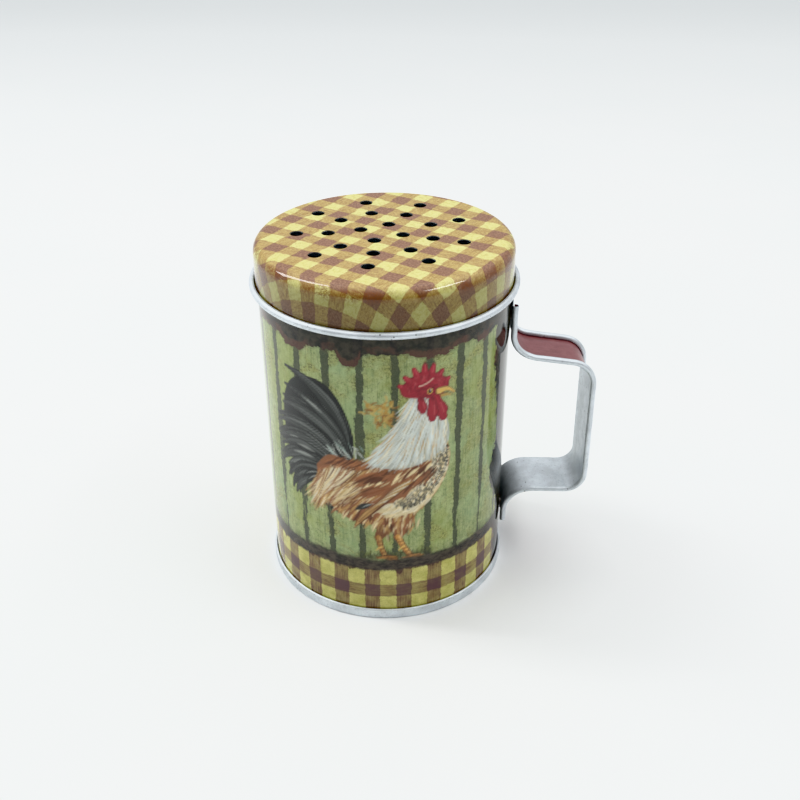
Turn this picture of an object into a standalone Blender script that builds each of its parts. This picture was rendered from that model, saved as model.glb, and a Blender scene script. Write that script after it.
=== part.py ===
"""Round tinplate shaker: a can body with a push-on perforated lid and a rolled-edge strip handle.

Metres, +Z up. The can stands on z = 0 and the handle points along +X. The object's own
bounding box is centred on the origin, so the can's axis stands at x = CAN_X.
"""

import math

import bmesh
import bpy

# Driving dimensions
SHEET = 0.00025  # tinplate thickness
TURN_STEPS = 48  # facets round the can
CORNER_STEPS = 4  # facets in a quarter-round corner
BEND_STEPS = 3  # facets in the small bends of a sheet
HALF_ROUND_STEPS = 6  # facets over a folded edge
SMOOTH_BELOW = math.radians(35)  # edges flatter than this are shaded smooth

CAN_R = 0.0365  # outside of the can's wall
FOLD_GAP = 0.0001  # between the two leaves of a folded edge
SEAT_GAP = 0.0003  # between pieces that are pressed together

SEAM_R = 0.0374  # outside of the double seam round the base
SEAM_H = 0.0033
SEAM_EDGE_R = 0.0004  # rounding of the double seam
PANEL_BEND_R = 0.0006  # where the base panel turns up into its chuck wall
PANEL_Z = 0.0033  # underside of the recessed base panel
PANEL_STEP_R = 0.0275  # raised middle of the base panel
PANEL_STEP = 0.0005

RIM_Z = 0.1069  # top of the can's wall, inside the lid
RIM_FOLD = 0.0035  # how far the mouth's folded hem reaches down

LID_R = 0.03698  # outside of the lid's skirt
LID_TOP = 0.1095
LID_CORNER_R = 0.003
CURL_R = 0.001  # outside radius of the rolled edge under the skirt
CURL_Z = 0.09725
CURL_TURN = math.radians(295)
CURL_STEPS = 8

HOLE_R = 0.0018
HOLE_SIDES = 12
PUNCH_LENGTH = 0.004
HOLE_CENTRE = (-0.0007, 0.0021)  # the punched pattern sits off the lid's middle
HOLE_RINGS = (  # count, ring radius, angle of the first hole
    (4, 0.0063, math.radians(70.1)),
    (9, 0.0151, math.radians(20.3)),
    (9, 0.0240, math.radians(20.3)),
)

LOCK_HALF_WIDTH = 0.002  # the folded side seam inside the wall
LOCK_DEPTH = 0.0007
LOCK_LOW = 0.005
LOCK_HIGH = 0.1025
GROOVE_Y = 0.0016  # the fold line that the side seam leaves outside
GROOVE_WIDTH = 0.0004
GROOVE_DEPTH = 0.00014

TAB_R = 0.037  # inner face of the handle's tabs, standing off the wall
HANDLE_HALF_WIDTH = 0.0089
HEM_R = 0.00095  # outside radius of the handle's rolled edges
HEM_TURN = math.radians(300)
HEM_STEPS = 6
STRIP_STEPS = 3  # facets across each half of the strip, so that a tab can follow the wall
HANDLE_CORNERS = (  # inner face of the strip, as (distance from the can's axis, height)
    (TAB_R, 0.0908),
    (TAB_R, 0.0738),
    (0.0609, 0.0700),
    (0.0613, 0.0265),
    (TAB_R, 0.0276),
    (TAB_R, 0.0145),
)
HANDLE_BENDS = (0.0088, 0.0069, 0.0049, 0.0088)
HANDLE_BEND_STEPS = 5

WELD_R = 0.0016
WELD_Y = 0.0042
WELD_HEIGHTS = {"upper": 0.0862, "lower": 0.0182}
WELD_CLEARANCE = 0.0001
WELD_SIDES = 16

HANDLE_REACH = HANDLE_CORNERS[3][0] + 2 * HEM_R
CURL_REACH = LID_R - SHEET + 2 * CURL_R
CAN_X = (CURL_REACH - HANDLE_REACH) / 2


def clear_scene():
    for thing in list(bpy.data.objects):
        bpy.data.objects.remove(thing, do_unlink=True)


def material(name, colour, metallic, roughness):
    made = bpy.data.materials.new(name)
    made.use_nodes = True
    shader = made.node_tree.nodes["Principled BSDF"]
    shader.inputs["Base Color"].default_value = (*colour, 1)
    shader.inputs["Metallic"].default_value = metallic
    shader.inputs["Roughness"].default_value = roughness
    made.diffuse_color = (*colour, 1)
    return made


def arc(centre, radius, start, turn, steps):
    """Points from angle start through turn, both ends included; angles from +X or +radius."""
    angles = [start + turn * step / steps for step in range(steps + 1)]
    return [(centre[0] + radius * math.cos(a), centre[1] + radius * math.sin(a)) for a in angles]


def corner(centre_r, centre_z, radius, start_degrees, turn_degrees, steps=CORNER_STEPS):
    return arc((centre_r, centre_z), radius, math.radians(start_degrees), math.radians(turn_degrees), steps)


def finished(name, bm, finish, parent):
    """The bmesh as a smooth-shaded object of its own, with outward faces."""
    bmesh.ops.remove_doubles(bm, verts=bm.verts, dist=1e-7)
    bmesh.ops.recalc_face_normals(bm, faces=bm.faces)
    mesh = bpy.data.meshes.new(name)
    bm.to_mesh(mesh)
    bm.free()
    mesh.shade_smooth()
    mesh.set_sharp_from_angle(angle=SMOOTH_BELOW)
    mesh.materials.append(finish)
    made = bpy.data.objects.new(name, mesh)
    made.parent = parent
    bpy.context.scene.collection.objects.link(made)
    return made


def turned(name, outline, finish, parent):
    """A solid of revolution from a closed outline of (radius, height) points."""
    bm = bmesh.new()
    verts = [bm.verts.new((radius, 0, height)) for radius, height in outline]
    for first, second in zip(verts, verts[1:] + verts[:1]):
        if first.co.x > 0 or second.co.x > 0:
            bm.edges.new((first, second))
    bmesh.ops.spin(
        bm,
        geom=bm.verts[:] + bm.edges[:],
        cent=(0, 0, 0),
        axis=(0, 0, 1),
        angle=math.tau,
        steps=TURN_STEPS,
        use_merge=True,
    )
    return finished(name, bm, finish, parent)


def box(name, low, high, parent):
    """A plain helper block between two corners, used by a Boolean and never shown."""
    bm = bmesh.new()
    bmesh.ops.create_cube(bm, size=1)
    for vert in bm.verts:
        for axis in range(3):
            middle = (low[axis] + high[axis]) / 2
            vert.co[axis] = middle + vert.co[axis] * (high[axis] - low[axis])
    return helper(name, bm, parent)


def helper(name, bm, parent):
    mesh = bpy.data.meshes.new(name)
    bm.to_mesh(mesh)
    bm.free()
    made = bpy.data.objects.new(name, mesh)
    made.parent = parent
    made.hide_render = True
    made.display_type = "WIRE"
    bpy.context.scene.collection.objects.link(made)
    return made


def combine(target, other, operation):
    modifier = target.modifiers.new(f"{operation.lower()}_{other.name}", "BOOLEAN")
    modifier.operation = operation
    modifier.solver = "EXACT"
    modifier.object = other


def body_shell(parent):
    """The rolled wall: a hook folded outwards at the foot and a hem folded inwards at the mouth."""
    inner = CAN_R - SHEET
    hook_inner = CAN_R + FOLD_GAP
    hook_outer = hook_inner + SHEET
    foot = SHEET + SEAT_GAP
    hook_top = SEAM_H - 2 * SHEET - SEAT_GAP
    hem_outer = inner - FOLD_GAP
    hem_inner = hem_outer - SHEET
    hem_low = RIM_Z - RIM_FOLD
    round_r = (CAN_R - hem_inner) / 2
    foot_r = (hook_outer - inner) / 2
    outline = [
        *corner(CAN_R - round_r, RIM_Z - round_r, round_r, 180, -180, HALF_ROUND_STEPS),
        (CAN_R, foot + SHEET),
        (hook_inner, foot + SHEET),
        (hook_inner, hook_top),
        (hook_outer, hook_top),
        *corner(inner + foot_r, foot + foot_r, foot_r, 0, -180),
        (inner, RIM_Z - SHEET),
        (hem_outer, RIM_Z - SHEET),
        (hem_outer, hem_low),
        (hem_inner, hem_low),
    ]
    finish = material("printed_tin", (0.33, 0.40, 0.16), 0.0, 0.25)
    shell = turned("body_shell", outline, finish, parent)
    ridge_low = (inner - LOCK_DEPTH, -LOCK_HALF_WIDTH, LOCK_LOW)
    ridge_high = (CAN_R - SHEET * 0.75, LOCK_HALF_WIDTH, LOCK_HIGH)
    combine(shell, box("lock_seam_ridge", ridge_low, ridge_high, parent), "UNION")
    groove_low = (CAN_R - GROOVE_DEPTH, GROOVE_Y - GROOVE_WIDTH / 2, LOCK_LOW)
    groove_high = (CAN_R + SHEET, GROOVE_Y + GROOVE_WIDTH / 2, LOCK_HIGH)
    combine(shell, box("lock_seam_groove", groove_low, groove_high, parent), "DIFFERENCE")
    return shell


def base_plate(parent):
    """The recessed end: a panel, its chuck wall, and a channel seamed round the wall's foot."""
    wall_outer = CAN_R - SHEET - SEAT_GAP
    wall_inner = wall_outer - SHEET
    channel = SEAM_R - SHEET
    lip = CAN_R + SEAT_GAP
    lip_low = SEAM_H - 2 * SHEET
    edge_r = SEAM_EDGE_R
    bend_r = PANEL_BEND_R
    inner_bend_r = bend_r - SHEET
    top = PANEL_Z + SHEET
    outline = [
        (0, top + PANEL_STEP),
        (PANEL_STEP_R - PANEL_STEP, top + PANEL_STEP),
        (PANEL_STEP_R, top),
        *corner(wall_outer - bend_r, top - bend_r, bend_r, 90, -90, BEND_STEPS),
        (wall_outer, SHEET),
        (channel, SHEET),
        (channel, lip_low),
        (lip, lip_low),
        (lip, SEAM_H),
        *corner(SEAM_R - edge_r, SEAM_H - edge_r, edge_r, 90, -90, BEND_STEPS),
        *corner(SEAM_R - edge_r, edge_r, edge_r, 0, -90, BEND_STEPS),
        *corner(wall_inner + edge_r, edge_r, edge_r, 270, -90, BEND_STEPS),
        *corner(wall_inner - inner_bend_r, PANEL_Z - inner_bend_r, inner_bend_r, 0, 90, BEND_STEPS),
        (PANEL_STEP_R, PANEL_Z),
        (PANEL_STEP_R - PANEL_STEP, PANEL_Z + PANEL_STEP),
        (0, PANEL_Z + PANEL_STEP),
    ]
    return turned("base_plate", outline, material("bare_tinplate", (0.62, 0.65, 0.66), 0.9, 0.35), parent)


def shaker_lid(parent):
    """The drawn push-on lid: a flat perforated top, a skirt, and an edge rolled outwards."""
    skirt_inner = LID_R - SHEET
    curl_r = skirt_inner + CURL_R
    inner_corner = LID_CORNER_R - SHEET
    middle_r = LID_R - LID_CORNER_R
    middle_z = LID_TOP - LID_CORNER_R
    curl_middle = (curl_r, CURL_Z)
    outline = [
        (0, LID_TOP),
        *corner(middle_r, middle_z, LID_CORNER_R, 90, -90),
        *arc(curl_middle, CURL_R - SHEET, math.pi, CURL_TURN, CURL_STEPS),
        *reversed(arc(curl_middle, CURL_R, math.pi, CURL_TURN, CURL_STEPS)),
        *corner(middle_r, middle_z, inner_corner, 0, 90),
        (0, LID_TOP - SHEET),
    ]
    finish = material("gingham_tin", (0.50, 0.42, 0.22), 0.0, 0.2)
    lid = turned("shaker_lid", outline, finish, parent)
    combine(lid, hole_punches(parent), "DIFFERENCE")
    return lid


def hole_punches(parent):
    """One round punch for each hole, in concentric rings."""
    bm = bmesh.new()
    for count, ring_r, first in HOLE_RINGS:
        for index in range(count):
            angle = first + math.tau * index / count
            punch = bmesh.ops.create_cone(
                bm, cap_ends=True, segments=HOLE_SIDES, radius1=HOLE_R, radius2=HOLE_R, depth=PUNCH_LENGTH
            )
            middle = (
                HOLE_CENTRE[0] + ring_r * math.cos(angle),
                HOLE_CENTRE[1] + ring_r * math.sin(angle),
                LID_TOP,
            )
            bmesh.ops.translate(bm, verts=punch["verts"], vec=middle)
    return helper("hole_punches", bm, parent)


def handle_path():
    """Stations along the strip's inner face: (distance, height, normal angle, wrap round the can).

    The straight corners are rounded to HANDLE_BENDS. Wrap is 1 where a tab follows the can's
    wall and 0 where the strip is flat.
    """
    corners = HANDLE_CORNERS
    stations = []
    for index, bend_r in enumerate(HANDLE_BENDS, start=1):
        before, here, after = corners[index - 1 : index + 2]
        heading_in = math.atan2(here[1] - before[1], here[0] - before[0])
        heading_out = math.atan2(after[1] - here[1], after[0] - here[0])
        turn = (heading_out - heading_in + math.pi) % math.tau - math.pi
        setback = bend_r * math.tan(abs(turn) / 2)
        side = math.copysign(1, turn)
        start = (here[0] - setback * math.cos(heading_in), here[1] - setback * math.sin(heading_in))
        middle = (
            start[0] - side * bend_r * math.sin(heading_in),
            start[1] + side * bend_r * math.cos(heading_in),
        )
        wrap_in = 1 if index == 1 else 0
        wrap_out = 1 if index == len(HANDLE_BENDS) else 0
        for step in range(HANDLE_BEND_STEPS + 1):
            share = step / HANDLE_BEND_STEPS
            heading = heading_in + turn * share
            x = middle[0] + side * bend_r * math.sin(heading)
            z = middle[1] - side * bend_r * math.cos(heading)
            wrap = wrap_in + (wrap_out - wrap_in) * share
            stations.append((x, z, heading + math.pi / 2, wrap))
    return [(*corners[0], 0, 1), *stations, (*corners[-1], 0, 1)]


def handle_section():
    """The strip's cross-section, as (across, outwards): flat, with both edges rolled outwards."""
    hem_middle = HANDLE_HALF_WIDTH - HEM_R
    flat = [hem_middle * step / STRIP_STEPS for step in range(STRIP_STEPS)]
    right = [
        *((across, 0) for across in flat),
        *arc((hem_middle, HEM_R), HEM_R, math.radians(-90), HEM_TURN, HEM_STEPS),
        *reversed(arc((hem_middle, HEM_R), HEM_R - SHEET, math.radians(-90), HEM_TURN, HEM_STEPS)),
        *((across, SHEET) for across in reversed(flat)),
    ]
    left = [(-across, outwards) for across, outwards in reversed(right[1:-1])]
    return right + left


def handle(parent):
    """The strip handle: two tabs that follow the wall, two arms and an upright grip."""
    section = handle_section()
    bm = bmesh.new()
    rings = []
    for x, z, normal, wrap in handle_path():
        ring = []
        for across, outwards in section:
            bent_across = (TAB_R + outwards) * math.sin(across / TAB_R)
            bent_outwards = (TAB_R + outwards) * math.cos(across / TAB_R) - TAB_R
            y = across + (bent_across - across) * wrap
            out = outwards + (bent_outwards - outwards) * wrap
            ring.append(bm.verts.new((x + out * math.cos(normal), y, z + out * math.sin(normal))))
        rings.append(ring)
    for ring, following in zip(rings, rings[1:]):
        for index, vert in enumerate(ring):
            after = (index + 1) % len(ring)
            bm.faces.new((vert, ring[after], following[after], following[index]))
    bm.faces.new(rings[0])
    bm.faces.new(rings[-1])
    return finished("handle", bm, material("handle_tin", (0.36, 0.13, 0.12), 0.3, 0.35), parent)


def spot_weld(name, side, height, finish, parent):
    """One weld nugget that joins a tab to the wall, drawn as a short disc across the joint."""
    low = CAN_R + WELD_CLEARANCE
    high = TAB_R - WELD_CLEARANCE
    angle = side * WELD_Y / CAN_R
    bm = bmesh.new()
    bmesh.ops.create_cone(
        bm, cap_ends=True, segments=WELD_SIDES, radius1=WELD_R, radius2=WELD_R, depth=high - low
    )
    for vert in bm.verts:
        across, up, outwards = vert.co
        radius = (low + high) / 2 + outwards
        spread = angle + across / radius
        vert.co = (radius * math.cos(spread), radius * math.sin(spread), height + up)
    return finished(name, bm, finish, parent)


def spot_welds(parent):
    finish = material("weld_steel", (0.30, 0.30, 0.31), 0.9, 0.5)
    for row, height in WELD_HEIGHTS.items():
        for label, side in (("front", -1), ("back", 1)):
            spot_weld(f"spot_weld_{row}_{label}", side, height, finish, parent)


def main():
    clear_scene()
    axis = bpy.data.objects.new("can_axis", None)
    axis.location.x = CAN_X
    bpy.context.scene.collection.objects.link(axis)
    body_shell(axis)
    base_plate(axis)
    shaker_lid(axis)
    handle(axis)
    spot_welds(axis)


main()
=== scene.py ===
"""Looks of the round tinplate shaker: printed wall and lid, bare rolled edges, strip handle.

Lengths are in millimetres about the can's axis while a piece is built, and in metres in Blender.
The wall's print is laid out on the unrolled sheet: u runs round the wall from the front, towards
the handle, and z runs up.
"""

import math

import bmesh
import bpy
import numpy as np
from mathutils import Matrix, Vector, geometry


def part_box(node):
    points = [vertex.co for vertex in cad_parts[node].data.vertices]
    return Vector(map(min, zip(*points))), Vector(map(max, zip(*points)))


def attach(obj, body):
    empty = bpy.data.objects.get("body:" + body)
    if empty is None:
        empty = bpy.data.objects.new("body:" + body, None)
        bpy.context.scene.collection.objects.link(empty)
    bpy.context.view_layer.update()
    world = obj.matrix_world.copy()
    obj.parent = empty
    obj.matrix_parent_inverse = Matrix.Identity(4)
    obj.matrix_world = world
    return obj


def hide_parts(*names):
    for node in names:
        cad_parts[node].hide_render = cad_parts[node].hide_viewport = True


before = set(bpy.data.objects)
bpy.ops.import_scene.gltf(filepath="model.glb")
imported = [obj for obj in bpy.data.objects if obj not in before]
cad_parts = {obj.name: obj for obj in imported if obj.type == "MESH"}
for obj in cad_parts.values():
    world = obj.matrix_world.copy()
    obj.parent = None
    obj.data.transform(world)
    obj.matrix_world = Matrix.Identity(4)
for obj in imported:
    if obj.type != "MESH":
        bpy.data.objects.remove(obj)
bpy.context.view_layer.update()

MM = 0.001


def node_box(node):
    """A CAD node's lowest and highest corners, in mm."""
    low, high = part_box(node)
    return np.array(low) / MM, np.array(high) / MM


# The frame's own sizes
SHEET = 0.25  # tinplate thickness
FOLD_GAP = 0.1
SEAT_GAP = 0.3
SHELL_LOW, SHELL_HIGH = node_box("body_shell")
BASE_LOW, BASE_HIGH = node_box("base_plate")
LID_LOW, LID_HIGH = node_box("shaker_lid")
AXIS_X = (BASE_LOW[0] + BASE_HIGH[0]) / 2
WALL_R = (SHELL_HIGH[0] - SHELL_LOW[0]) / 2 - FOLD_GAP - SHEET
RIM_Z = SHELL_HIGH[2]
SEAM_R = (BASE_HIGH[0] - BASE_LOW[0]) / 2
SEAM_H = 3.3
LID_TOP = LID_HIGH[2]
CURL_REACH = (LID_HIGH[0] - LID_LOW[0]) / 2

RIM_FOLD = 3.5
LID_R = WALL_R + 0.48
LID_CORNER_R = 3.0
CURL_R = 1.0
CURL_Z = LID_LOW[2] + 0.96
CURL_TURN = 295
HOLE_R = 1.8
HOLE_CENTRE = (-0.7, 2.1)
HOLE_RINGS = ((4, 6.3, 70.1), (9, 15.1, 20.3), (9, 24.0, 20.3))  # count, radius, first angle
SKIRT_LOW, SKIRT_HIGH = 98.0, 105.8
STRETCH_FROM, STRETCH = 25.5, 0.142  # how the lid's sheet stretched: from what radius, and by what share
DRIFT = math.radians(3.2)  # how far round the sheet crept at the shoulder

AROUND = math.tau * WALL_R  # length of the unrolled wall
HANDLE_U = AROUND / 4
LOCK_U = HANDLE_U + 1.6  # the side seam's fold line, where the print's two ends meet
LOCK_HALF_WIDTH = 2.0
LOCK_DEPTH = 0.45
LOCK_LOW, LOCK_HIGH = 4.8, 102.6

BOARD = AROUND / 24
BOARD_U = 1.65  # one of the dark gaps between boards
CHECK_U = 4.25  # the middle of one upright band of the wall's gingham
CHECK_START = (1.206, 12.353)  # the middle of a light square of the lid's gingham
CHECK_AXES = ((9.077, -33.07), (9.527, 55.72))  # its two periods, and the way each runs
GRAIN_ANGLE = math.radians(-88)  # the way that the lid's sheet was rolled
TOP_CHIPS = (  # torn pieces that hang from the dark field under the lid: u, half width, depth
    (-10.5, 4.2, 3.9), (-28.0, 6.0, 2.4), (12.5, 8.0, 1.8), (29.0, 4.0, 1.5), (-52.0, 6.0, 4.0),
    (-74.0, 5.0, 2.5), (-91.0, 7.0, 5.0), (-113.0, 8.0, 2.5), (-140.0, 5.0, 4.0),
)
BACK_PICTURE = -94.7  # from the front picture to the same one on the far side
TOP_FIELD_Z = 90.9  # the dark field under the lid ends here
SIDE_FIELD_HALF = 18.0  # half the width of the dark field round the handle
LINE_Z = 20.7  # the dark wavy line
GINGHAM_TOP = 19.4
CHECK_Z = 10.4  # the middle of the level band of the wall's gingham
CHECK_HALF_WIDTH = 2.3

TAB_R = WALL_R + 0.5
HANDLE_HALF_WIDTH = 8.9
HEM_R = 0.95
HEM_TURN = 300
HANDLE_CORNERS = (
    (TAB_R, 90.8), (TAB_R, 73.8), (60.9, 70.0), (61.3, 26.5), (TAB_R, 27.6), (TAB_R, 14.5)
)
HANDLE_BENDS = (8.8, 6.9, 4.9, 8.8)
WELD_Y = 4.2
WELD_R = 1.6
WELD_HEIGHTS = (86.2, 18.2)

CAMERA_PLACE = (-4.285, -266.32, 217.48)
CAMERA_ANGLES = (1.843, 31.35, -0.125)  # turned to the right, tilted down, rolled
CAMERA_LENS = 45.507
LAMP_TARGET = (0, 0, 50)

# Print colours, as the sheet shows them
BOARD_GREEN = (146, 161, 104)
BOARD_PALE = (176, 186, 132)
BOARD_OCHRE = (158, 156, 84)
BOARD_GREY = (118, 130, 92)
BAND_DARK = (30, 29, 28)
BAND_RED = (78, 54, 46)
CHECK_LIGHT = (208, 204, 124)
CHECK_CROSS = (92, 66, 72)
LID_LIGHT = (217, 213, 146)
LACQUER_RED = (124, 74, 76)
TIN = (228, 234, 238)


def linear(colour):
    """A display colour, 0 to 255, as scene-linear numbers."""
    share = np.asarray(colour, float) / 255
    return np.where(share <= 0.04045, share / 12.92, ((share + 0.055) / 1.055) ** 2.4)


def rgba(colour):
    """The same with an alpha of 1, as sockets take it."""
    return (*linear(colour), 1.0)


# ---------------------------------------------------------------- meshes


def arc(centre, radius, start, turn, steps):
    """Points from start through turn, in degrees, both ends included."""
    angles = np.radians(start + turn * np.arange(steps + 1) / steps)
    return [(centre[0] + radius * math.cos(a), centre[1] + radius * math.sin(a)) for a in angles]


def graded(*stretches):
    """Coordinates along stretches (start, end, step), each end met exactly."""
    values = []
    for start, end, step in stretches:
        count = max(1, round(abs(end - start) / step))
        values.extend(start + (end - start) * np.arange(count) / count)
    values.append(stretches[-1][1])
    return np.array(values)


def lathe(outline, angles, closed=True):
    """Vertices and quads of an outline (radius, height) turned through angles, in radians.

    The outline runs counter-clockwise, with radius to the right, so that faces point out.
    """
    outline = np.asarray(outline, float)
    rows, columns = len(outline), len(angles)
    verts = np.empty((rows, columns, 3))
    verts[..., 0] = outline[:, None, 0] * np.cos(angles)
    verts[..., 1] = outline[:, None, 0] * np.sin(angles)
    verts[..., 2] = outline[:, None, 1]
    index = np.arange(rows * columns).reshape(rows, columns)
    above = np.roll(index, -1, axis=0)
    if not closed:
        index, above = index[:-1], above[:-1]
    quads = np.stack([index, np.roll(index, -1, 1), np.roll(above, -1, 1), above], axis=-1)
    return verts.reshape(-1, 3), quads.reshape(-1, 4)


def solid(name, verts, faces, materials, slots=0, sharp=35, points=None, corners=None):
    """A mesh object from points in mm about the can's axis.

    points and corners hold attributes by name: one vector, colour or number for each vertex,
    or for each face corner.
    """
    verts = (np.asarray(verts, float) + (AXIS_X, 0, 0)) * MM
    mesh = bpy.data.meshes.new(name)
    mesh.from_pydata(verts.tolist(), [], faces)
    for material in materials:
        mesh.materials.append(material)
    mesh.polygons.foreach_set("material_index", np.broadcast_to(slots, len(faces)).astype(np.int32))
    for domain, given in (("POINT", points), ("CORNER", corners)):
        for label, data in (given or {}).items():
            add_attribute(mesh, label, domain, np.asarray(data, np.float32))
    mesh.validate()
    mesh.shade_smooth()
    mesh.set_sharp_from_angle(angle=math.radians(sharp))
    made = bpy.data.objects.new(name, mesh)
    bpy.context.scene.collection.objects.link(made)
    return made


def add_attribute(mesh, label, domain, data):
    """Stores numbers, vectors or colours on a mesh, by how many parts each has."""
    kinds = {1: ("FLOAT", "value"), 3: ("FLOAT_VECTOR", "vector"), 4: ("FLOAT_COLOR", "color")}
    kind, key = kinds[1 if data.ndim == 1 else data.shape[1]]
    mesh.attributes.new(label, kind, domain).data.foreach_set(key, data.ravel())


def value_noise(x, y, seed):
    """Smooth noise from -1 to 1 at arrays x and y, one lattice cell per unit."""
    table = np.random.default_rng(seed).uniform(-1, 1, (64, 64))
    left, low = np.floor(x).astype(int), np.floor(y).astype(int)
    fx, fy = x - left, y - low
    fx, fy = fx * fx * (3 - 2 * fx), fy * fy * (3 - 2 * fy)

    def at(i, j):
        return table[(left + i) % 64, (low + j) % 64]

    lower = at(0, 0) * (1 - fx) + at(1, 0) * fx
    upper = at(0, 1) * (1 - fx) + at(1, 1) * fx
    return lower * (1 - fy) + upper * fy


# ---------------------------------------------------------------- the farm bird's picture

PIXEL = 0.125  # mm between the canvas's points
BLOB_EDGE = 0.2  # mm, the width of the line that softens a filled patch
CANVAS_U = (-46.0, 26.0)
CANVAS_Z = (18.0, 92.0)


class Canvas:
    """A patch of the unrolled sheet that brush strokes are laid on, one over the other."""

    def __init__(self, seed):
        self.u = np.arange(CANVAS_U[0], CANVAS_U[1], PIXEL)
        self.z = np.arange(CANVAS_Z[0], CANVAS_Z[1], PIXEL)
        shape = (len(self.z), len(self.u))
        self.colour = np.zeros((*shape, 3))
        self.cover = np.zeros(shape)
        self.grain = np.zeros((*shape, 3))
        self.rng = np.random.default_rng(seed)

    def stroke(self, path, widths, colour, strength=1.0, soft=0.16):
        """One brush stroke along path: one width, the two end widths, or one at each point."""
        path = np.asarray(path, float)
        widths = np.asarray(widths, float)
        if widths.shape == (2,):
            widths = np.linspace(*widths, len(path))
        half = np.broadcast_to(widths / 2, len(path))
        reach = half.max() + 3 * soft
        columns = slice(*np.searchsorted(self.u, (path[:, 0].min() - reach, path[:, 0].max() + reach)))
        rows = slice(*np.searchsorted(self.z, (path[:, 1].min() - reach, path[:, 1].max() + reach)))
        u, z = np.meshgrid(self.u[columns], self.z[rows])
        if not u.size:
            return
        gap = np.full(u.shape, 1e9)
        along = np.zeros(u.shape)
        across = np.zeros(u.shape)
        travelled = 0.0
        for start, end, half_start, half_end in zip(path, path[1:], half, half[1:]):
            step = end - start
            length = math.hypot(*step) + 1e-9
            share = ((u - start[0]) * step[0] + (z - start[1]) * step[1]) / length**2
            share = np.clip(share, 0, 1)
            du, dz = u - start[0] - share * step[0], z - start[1] - share * step[1]
            here = np.hypot(du, dz) - (half_start + (half_end - half_start) * share)
            nearer = here < gap
            gap = np.where(nearer, here, gap)
            along = np.where(nearer, travelled + share * length, along)
            across = np.where(nearer, (dz * step[0] - du * step[1]) / length, across)
            travelled += length
        alpha = np.clip(0.5 - gap / (2 * soft), 0, 1) * strength
        patch = (rows, columns)
        own = np.asarray(colour, float) / 255
        self.colour[patch] += (own - self.colour[patch]) * alpha[..., None]
        self.cover[patch] += (1 - self.cover[patch]) * alpha
        grain = np.stack([along, across, np.full(u.shape, self.rng.uniform(0, 9))], axis=-1)
        self.grain[patch] = np.where(alpha[..., None] > 0.5, grain, self.grain[patch])

    def feather(self, path, width, colour, strength=1.0, soft=0.16, tip=0.12, belly=0.45):
        """A stroke that is narrow at its root, widest at belly, and pointed."""
        self.stroke(path, leaf_widths(width, len(path), tip, belly), colour, strength, soft)

    def pick(self, *tints):
        """One of some colours, at random."""
        return np.array(tints[self.rng.integers(len(tints))])

    def blob(self, outline, colour):
        """A filled patch inside a closed outline."""
        outline = np.asarray(outline, float)
        u, z = np.meshgrid(self.u, self.z)
        inside = np.zeros(u.shape, bool)
        for (u0, z0), (u1, z1) in zip(outline, np.roll(outline, -1, axis=0)):
            crosses = (z0 > z) != (z1 > z)
            inside ^= crosses & (u < u0 + (z - z0) * (u1 - u0) / (z1 - z0 if z1 != z0 else 1e-9))
        self.colour[inside] = np.asarray(colour, float) / 255
        self.cover[inside] = 1.0
        self.stroke([*outline, outline[0]], BLOB_EDGE, colour)

    def at(self, u, z):
        """Colour, cover and grain at points of the sheet, by straight interpolation."""
        column = np.clip((u - self.u[0]) / PIXEL, 0, len(self.u) - 1.001)
        row = np.clip((z - self.z[0]) / PIXEL, 0, len(self.z) - 1.001)
        inside = (u > self.u[0]) & (u < self.u[-1]) & (z > self.z[0]) & (z < self.z[-1])
        i, j = row.astype(int), column.astype(int)
        fi, fj = (row - i)[:, None], (column - j)[:, None]
        layers = np.concatenate([self.colour, self.cover[..., None], self.grain], axis=-1)
        lower = layers[i, j] * (1 - fj) + layers[i, j + 1] * fj
        upper = layers[i + 1, j] * (1 - fj) + layers[i + 1, j + 1] * fj
        found = (lower * (1 - fi) + upper * fi) * inside[:, None]
        return found[:, :3], found[:, 3], found[:, 4:]


def bow(start, heading, length, turn=0.0, points=9):
    """A path of a length from a start, its heading in degrees changing by turn along it."""
    step = length / (points - 1)
    headings = np.radians(heading + turn * np.linspace(0, 1, points - 1))
    moves = step * np.stack([np.cos(headings), np.sin(headings)], axis=-1)
    return np.vstack([start, start + np.cumsum(moves, axis=0)])


def curve(stops, count):
    """Evenly spaced points on a smooth curve through stops."""
    stops = np.asarray(stops, float)
    ends = np.vstack([2 * stops[0] - stops[1], stops, 2 * stops[-1] - stops[-2]])
    spans = len(stops) - 1
    found = []
    for t in np.linspace(0, spans - 1e-9, count):
        k = int(t)
        s = t - k
        a, b, c, d = ends[k : k + 4]
        squared, cubed = 2 * a - 5 * b + 4 * c - d, 3 * b - a - 3 * c + d
        found.append(0.5 * (2 * b + (c - a) * s + squared * s**2 + cubed * s**3))
    return np.array(found)


def leaf_widths(width, points=9, tip=0.12, belly=0.45):
    """Widths of a feather: narrow at the root, widest at belly, and pointed."""
    t = np.linspace(0, 1, points)
    rise = np.clip(t / belly, 0, 1) ** 0.6
    fall = np.clip((1 - t) / (1 - belly), 0, 1) ** 0.7
    return width * np.maximum(rise * fall, tip)


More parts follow.
